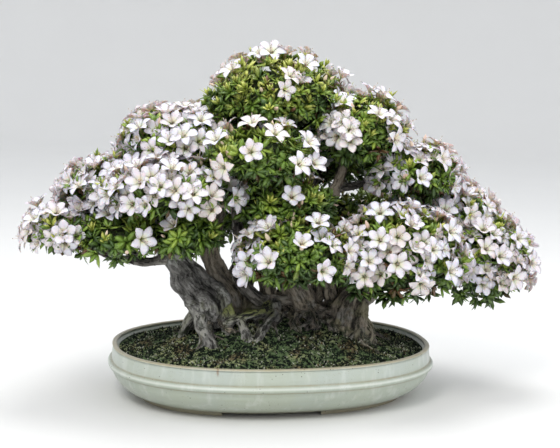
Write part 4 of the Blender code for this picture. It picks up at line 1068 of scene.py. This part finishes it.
# Stations along a lobe: reach, height, half width, cup and crease, in bloom radii
LOBE_STATIONS = np.array((
    (0.05, -0.42, 0.000, 0.000, 0.000),
    (0.18, -0.20, 0.148, 0.000, 0.006),
    (0.34, -0.07, 0.268, 0.015, 0.020),
    (0.49, -0.01, 0.318, 0.040, 0.034),
    (0.66, 0.01, 0.286, 0.045, 0.038),
    (0.85, 0.00, 0.172, 0.015, 0.024),
    (1.00, -0.06, 0.000, 0.000, 0.000),
))
LOBE_COLUMNS = 5
PETAL_THICKNESS = 0.026


def cad_blooms(pad):
    """The blooms of a CAD node, found by shape: a throat has ten neighbours, five tips all at one
    distance and five notches all at another. Gives each one's middle, axis, first way and radius."""
    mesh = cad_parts["blooms_" + pad].data
    mesh.calc_loop_triangles()
    points = np.round(threes(mesh.vertices, "co"), 6)
    points, index = np.unique(points, axis=0, return_inverse=True)
    faces = index.reshape(-1)[threes(mesh.loop_triangles, "vertices", np.int32)]
    found = []
    for throat in np.flatnonzero(np.bincount(faces.ravel()) == 2 * LOBES):
        around = faces[(faces == throat).any(axis=1)]
        ring = np.unique(around[around != throat])
        gaps = np.linalg.norm(points[ring] - points[throat], axis=1)
        order = np.argsort(gaps)
        notches, tips = gaps[order[:LOBES]], gaps[order[LOBES:]]
        if np.ptp(tips) > 0.1 * tips.mean() or np.ptp(notches) > 0.1 * notches.mean():
            continue
        tips = points[ring[order[LOBES:]]].astype(float)
        middle = tips.mean(axis=0)
        radius = np.linalg.norm(tips - middle, axis=1).mean()
        found.append((middle, unit(middle - points[throat]), unit(tips[0] - middle), radius))
    return found


def lobe_grid():
    """One lobe along +X: rows of points at its stations, from a point in the throat to one at the
    tip, cupped across by the square and creased along the middle. The underside is a coarser grid
    between the same edges. Gives its points, its faces and how far across each point is."""
    across = np.linspace(-1, 1, LOBE_COLUMNS)
    reach, height, width, cup, crease = LOBE_STATIONS[1:-1].T[:, :, None]
    rise = height + cup * across**2 - crease * (1 - np.abs(across))
    top = np.stack(np.broadcast_arrays(reach, width * across, rise), axis=-1)
    below = top[:, LOBE_COLUMNS // 2] - (0, 0, PETAL_THICKNESS)
    ends = LOBE_STATIONS[[0, -1]][:, (0, 2, 1)]
    points = np.vstack((top.reshape(-1, 3), below, ends))
    upper = np.arange(len(top) * LOBE_COLUMNS).reshape(-1, LOBE_COLUMNS)
    lower = np.column_stack((upper[:, 0], upper.size + np.arange(len(top)), upper[:, -1]))
    faces = []
    for grid, order in ((upper, -1), (lower, 1)):
        rows = grid.ravel()[grid_faces(*grid.shape)]
        pairs = np.stack((grid[:, :-1], grid[:, 1:]), axis=-1)
        first = np.insert(pairs[0][:, ::-1], 0, len(points) - 2, axis=1)
        last = np.insert(pairs[-1], 0, len(points) - 1, axis=1)
        faces.append(np.concatenate((rows, first, last))[:, ::order])
    side = np.concatenate((np.tile(across, len(top)), np.zeros(len(below) + 2)))
    return points, np.concatenate(faces), side


def stem_parts(rng):
    """Stamens and a longer style that lean out of the throat, each a thin tube that swells into a
    small head at its end, as (points, faces, look, pick) parts."""
    lean = rng.uniform(0, TURN)
    stems = [(rng.uniform(0.48, 0.70), lean + rng.normal(0, 0.9), 0.020) for _ in range(LOBES - 1)]
    stems.append((0.86, lean, 0.022))
    for reach, turn, thick in stems:
        out = np.array((math.cos(turn), math.sin(turn), 0.0)) * rng.uniform(0.10, 0.26)
        shares = np.array((0.0, 0.93, 1.0, 1.08))[:, None]
        route = shares * out + (0, 0, -0.45) + shares**0.9 * (0, 0, reach)
        stem = tube(route, (thick, thick, 0.034, 0.014), 3)
        yield *stem, np.repeat(shares > 0.95, 3, axis=0) * (1.0, 0.0, 0.0), np.full(len(stem[1]), 1)


def bloom_template(cup, rng):
    """One whole flower of radius one with its axis along +Z. Each lobe is lifted by the square of
    its length times a lift, drawn in by the cup, and bent and waved a little of its own."""
    lobe, lobe_faces, side = lobe_grid()
    along = lobe[:, 0]
    parts = []
    for step in range(LOBES):
        lift, curl = 0.45 * cup + rng.uniform(-0.06, 0.10), rng.uniform(-0.12, 0.04)
        wave = 0.022 * np.sin(6 * along + 2 * side + rng.uniform(0, TURN))
        reach = along * (1 - 0.25 * cup * along)
        across = lobe[:, 1] + rng.uniform(-0.05, 0.05) * along**2
        height = lobe[:, 2] + (lift + wave) * along**2 + curl * along**4 + 0.03 * (step % 2) * along
        turn = step * TURN / LOBES
        cos, sin = math.cos(turn), math.sin(turn)
        points = np.stack((cos * reach - sin * across, sin * reach + cos * across, height), axis=1)
        looks = np.stack((along, 0 * along, side), axis=1)
        parts.append((points, lobe_faces, looks, np.zeros(len(lobe_faces), int)))
    parts += stem_parts(rng)
    calyx = tube(np.array(((0, 0, -0.90), (0, 0, -0.52), (0, 0, -0.34))), (0.035, 0.085, 0.070), 4)
    parts.append((*calyx, np.zeros((len(calyx[0]), 3)), np.full(len(calyx[1]), 2)))
    return merge(parts)


def bud_template():
    """A spindle along +Z, one long, widest below its middle."""
    heights = np.array((0.0, 0.12, 0.34, 0.60, 0.84, 1.0))
    radii = np.array((0.05, 0.11, 0.175, 0.170, 0.095, 0.015))
    points, faces = tube(heights[:, None] * (0, 0, 1), radii, 8)
    return points, faces, points[:, 2:] * (1, 0, 0), np.full(len(faces), 3)


def placed(template, middles, axes, firsts, sizes, tones):
    """Copies of a shape: its x runs along first and its z along axis, all times the size."""
    points, faces, looks, picks = template
    firsts = unit(firsts - axes * np.sum(firsts * axes, axis=1, keepdims=True))
    basis = np.stack((firsts, np.cross(axes, firsts), axes), axis=1) * sizes[:, None, None]
    made = middles[:, None] + np.einsum("pk,nkc->npc", points, basis)
    looks = np.broadcast_to(looks, made.shape).copy()
    looks[..., 1] = tones[:, None]
    faces = repeated(len(points), faces, len(middles))
    return made.reshape(-1, 3), faces, looks.reshape(-1, 3), np.tile(picks, len(middles))


def extra_blooms(pad, taken, rng):
    """More blooms in clumps between the CAD's: places spread over the pad's open upper side where
    slow noise is high, kept where they are far enough from every bloom so far."""
    ways = scattered(pad, TRIAL_SPACING, 0.06, rng)
    ways = ways[rng.permutation(len(ways))]
    points, normals = pad_surface(pad, ways, rng.uniform(0.004, 0.022, len(ways)))
    clumps = noise(points, 0.050, 71, 1) + 0.7 * (2 * PADS[pad][4] - 1)
    lowest = -0.10 if pad.startswith("back") else -0.28
    keep = open_to_air(pad, points, 0.002) & (ways[:, 2] > lowest) & (clumps > 0)
    centres, made = [place - SHIFT for place in taken], []
    for point, normal in zip(points[keep], normals[keep]):
        if centres and np.min(np.linalg.norm(np.array(centres) - point, axis=1)) < EXTRA_SPACING:
            continue
        axis = unit(normal + (0, 0, 0.35) + 0.35 * unit(point * (1, 1, 0)) + rng.normal(0, 0.30, 3))
        centres.append(point)
        made.append((point + SHIFT, axis, square_to(axis)[0], BLOOM_RADIUS * rng.uniform(0.82, 1.0)))
    return made


def buds_on(pad, rng):
    """Places, axes, first ways, lengths and tones for buds that stand up out of a pad's leaves,
    more of them where it is fresh."""
    count = int(6 + 20 * PADS[pad][3] * PADS[pad][1][0] / 0.1)
    ways = unit(rng.normal(0, 1, (count, 3)) + (0, 0, 0.6))
    feet, normals = pad_surface(pad, ways, rng.uniform(-0.002, 0.008, count))
    keep = open_to_air(pad, feet, 0.0) & (ways[:, 2] > -0.25)
    axes = unit(normals + (0, 0, 0.5) + rng.normal(0, 0.3, normals.shape))[keep]
    lengths, tones = rng.uniform(*BUD_LENGTHS, keep.sum()), rng.random(keep.sum())
    return feet[keep] + SHIFT, axes, square_to(axes)[0], lengths, tones


def petal_material():
    """Thin white petals, pinker along the rib and in some flowers, cream in the throat, with faint
    lines along each lobe."""
    flesh = {"Subsurface_Weight": 0.20, "Subsurface_Scale": 0.004}
    petal = Surface("petal_fine", Metallic=0.0, Roughness=0.5, **flesh)
    along, tone, side = petal.look("look").parts()
    base = tone.mix((0.83, 0.775, 0.85), (0.86, 0.765, 0.785))
    rib = (side * side).span(0.22, 0.0) * along.span(1.0, 0.4)
    base = (rib * 0.22).mix(base, (0.86, 0.68, 0.75))
    base = (tone.span(0.72, 1.0) * along.span(0.2, 0.8) * 0.55).mix(base, (0.90, 0.74, 0.66))
    lines = (side * 6.0 + 0.5).math("FRACT", side * 6.0 + 0.5) - 0.5
    base = (lines * lines * 4.0 * along.span(0.2, 0.6) * 0.10).mix(base, (0.70, 0.56, 0.66))
    base = (along.span(0.50, 0.10) * 0.75).mix(base, (0.82, 0.78, 0.46))
    petal.link("Base Color", base)
    petal.bump(lines * lines + petal.place.noise(300.0, 2.0) * 0.6, 0.0008, 0.4)
    return petal.material


def stamen_material():
    """Pale pinkish filaments with brown anthers."""
    stamen = Surface("stamen_fine", Metallic=0.0, Roughness=0.6)
    along = stamen.look("look").parts()[0]
    colour = along.span(0.7, 0.9).mix((0.90, 0.82, 0.80), (0.44, 0.34, 0.22))
    stamen.link("Base Color", stamen.place.noise(900.0, 1.0).span(0.6, 0.9).mix(colour, (0.80, 0.68, 0.60)))
    return stamen.material


def calyx_material():
    """Green calyx and stalk, reddish-brown in places."""
    calyx = Surface("calyx_fine", Metallic=0.0, Roughness=0.6)
    mottle = calyx.place.noise(240.0, 2.0)
    calyx.link("Base Color", mottle.span(0.4, 0.65).mix((0.16, 0.24, 0.04), (0.24, 0.14, 0.07)))
    return calyx.material


def bud_material():
    """Closed buds: green at the foot, and cream to pink above."""
    bud = Surface("bud_fine", Metallic=0.0, Roughness=0.5)
    along, tone, _ = bud.look("look").parts()
    tip = tone.mix((0.88, 0.76, 0.56), (0.85, 0.60, 0.50))
    base = along.span(0.10, 0.50).mix((0.30, 0.35, 0.08), tip)
    bud.link("Base Color", (bud.place.noise(500.0, 2.0).span(0.5, 0.8) * 0.25).mix(base, (0.62, 0.40, 0.30)))
    return bud.material


BLOOM_CUPS = (0.0, 0.0, 0.1, 0.2, 0.35, 0.6, 0.9)
BLOOM_TEMPLATES = [
    bloom_template(cup, np.random.default_rng(SEED + 500 + step)) for step, cup in enumerate(BLOOM_CUPS)
]
BLOOM_MATERIALS = [petal_material(), stamen_material(), calyx_material(), bud_material()]


def make_blooms(pad, rng):
    """The CAD's blooms in full detail, each tilted a little of its own, more of them between, and
    the buds."""
    flowers = cad_blooms(pad)
    flowers += extra_blooms(pad, [flower[0] for flower in flowers], rng)
    middles, axes, firsts, radii = (np.array(part) for part in zip(*flowers))
    axes = unit(axes + rng.normal(0, BLOOM_TILT, axes.shape))
    middles = middles - BLOOM_SINK * radii[:, None] * axes
    tones = np.clip(0.45 + 0.5 * noise(middles, 0.09, 81, 1) + rng.normal(0, 0.25, len(flowers)), 0, 1)
    kinds = rng.integers(len(BLOOM_TEMPLATES), size=len(flowers))
    groups = [placed(bud_template(), *buds_on(pad, rng))]
    for kind in np.unique(kinds):
        own = (values[kinds == kind] for values in (middles, axes, firsts, radii, tones))
        groups.append(placed(BLOOM_TEMPLATES[kind], *own))
    points, faces, looks, picks = merge(groups)
    looks = {"look": looks}
    piece(pad + "_blooms", points, faces, BLOOM_MATERIALS, ["blooms_" + pad], looks, picks)


for step, pad_name in enumerate(PADS):
    make_blooms(pad_name, np.random.default_rng(SEED + 200 + step))

# The fine twigs: what the branches divide into inside each pad, bare and brown, seen from below and
# through the gaps between the pads. They grow from the branches' ends.

TWIGS_A_PAD = 34
TWIG_RADII, TWIG_END_RADIUS = (0.0022, 0.0032), 0.0009


def pad_twigs(pad, rng):
    """Twigs from just under a pad's centre out to its underside and rim, each a bent tube that
    dips and then turns up at its end."""
    centre, _, under = pad_shape(pad)
    start = centre - (0, 0, 0.25 * under[2])
    for way in spread(TWIGS_A_PAD, rng.uniform(0, TURN)):
        if way[2] > 0.3:
            continue
        end = pad_surface(pad, way[None], rng.uniform(-0.014, -0.002))[0][0]
        bend = start + 0.55 * (end - start) + rng.normal(0, 0.006, 3) - (0, 0, 0.006)
        route = run_points([start, bend, end + (0, 0, 0.004)], 3)
        radii = np.linspace(rng.uniform(*TWIG_RADII), TWIG_END_RADIUS, len(route))
        points, faces = tube(route, radii, 4)
        yield points, faces, points


def make_twigs():
    """All the pads' twigs as one piece, in the same bark as the branches."""
    rng = np.random.default_rng(SEED + 300)
    points, faces, grain = merge([twig for pad in PADS for twig in pad_twigs(pad, rng)])
    looks = {"grain": grain, "look": np.full(points.shape, 0.4)}
    piece("fine_twigs", points + SHIFT, faces, [bpy.data.materials["bark_fine"]], [], looks)


make_twigs()

# The studio: a plain pale floor that curves up into a wall all round, soft lamps, and a camera at
# the photograph's viewing angle. None of it is part of the bonsai.

CAMERA_PLACE = np.array((-0.3887, -1.9924, 0.558)) + SHIFT
CAMERA_YAW, CAMERA_PITCH, CAMERA_ROLL = 0.1976, 0.1307, 0.0216
FOCAL_PIXELS, IMAGE_WIDTH, SENSOR = 1200.0, 560.0, 36.0
FLOOR_REACH, FLOOR_BEND, WALL_TOP, FLOOR_SEGMENTS = 6.0, 2.5, 7.0, 96
LAMP_TARGET = Vector((0, 0, 0.28))


def floor_material():
    """Plain pale paper, a little uneven."""
    paper = Surface("floor_plain", Roughness=0.85, Metallic=0.0)
    paper.link("Base Color", paper.place.noise(3.0, 2.0).mix((0.80, 0.795, 0.78), (0.78, 0.775, 0.76)))
    return paper.material


def make_floor():
    """A flat disc whose rim bends up by a quarter circle into a round wall."""
    bend = np.radians(np.linspace(0, 90, 20))
    rim = FLOOR_REACH + FLOOR_BEND
    radius = np.concatenate(([0.01, 1.0, 3.0], FLOOR_REACH + FLOOR_BEND * np.sin(bend), [rim]))
    height = np.concatenate(([0.0, 0.0, 0.0], FLOOR_BEND * (1 - np.cos(bend)), [WALL_TOP]))
    turns = even_turns(FLOOR_SEGMENTS)
    x, y = radius[:, None] * np.cos(turns), radius[:, None] * np.sin(turns)
    points = np.stack((x, y, np.broadcast_to(height[:, None], x.shape)), axis=-1)
    middle = [list(range(FLOOR_SEGMENTS))]
    faces = grid_faces(len(radius), FLOOR_SEGMENTS, True)[:, ::-1].tolist()
    mesh = bpy.data.meshes.new("floor")
    mesh.from_pydata(points.reshape(-1, 3).tolist(), [], middle + faces)
    mesh.shade_smooth()
    mesh.materials.append(floor_material())
    put("floor", mesh)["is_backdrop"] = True


def lamp(name, place, size, watts, colour):
    """A soft round lamp that shines at the tree."""
    light = bpy.data.lights.new(name, "AREA")
    light.shape, light.size, light.energy, light.color = "DISK", size, watts, colour
    made = put(name, light)
    made.location = place
    made.rotation_euler = (LAMP_TARGET - Vector(place)).to_track_quat("-Z", "Y").to_euler()


def make_camera():
    """The photograph's camera, placed by a fit to the pot's rim, bead and foot."""
    data = bpy.data.cameras.new("camera")
    data.sensor_width = SENSOR
    data.lens = FOCAL_PIXELS / IMAGE_WIDTH * SENSOR
    camera = put("camera", data)
    turned = Matrix.Rotation(-CAMERA_YAW, 4, "Z") @ Matrix.Rotation(math.pi / 2 - CAMERA_PITCH, 4, "X")
    camera.matrix_world = Matrix.Translation(CAMERA_PLACE) @ turned @ Matrix.Rotation(CAMERA_ROLL, 4, "Z")
    bpy.context.scene.camera = camera


make_floor()
lamp("key", (-1.2, -2.0, 2.6), 1.2, 40, (1.0, 0.98, 0.95))
lamp("fill", (2.4, -1.6, 1.5), 2.4, 17, (0.96, 0.98, 1.0))
lamp("top", (0.2, 0.5, 2.9), 1.6, 33, (1.0, 1.0, 1.0))
world = bpy.data.worlds.new("soft_sky")
world.use_nodes = True
world.node_tree.nodes["Background"].inputs["Color"].default_value = (0.92, 0.95, 1.0, 1.0)
world.node_tree.nodes["Background"].inputs["Strength"].default_value = 1.12
bpy.context.scene.world = world
bpy.context.scene.view_settings.view_transform = "Standard"
make_camera()

boxes = {"cad": cad_box, "visual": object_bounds()}
lists = {name: [[float(v) for v in corner] for corner in box] for name, box in boxes.items()}
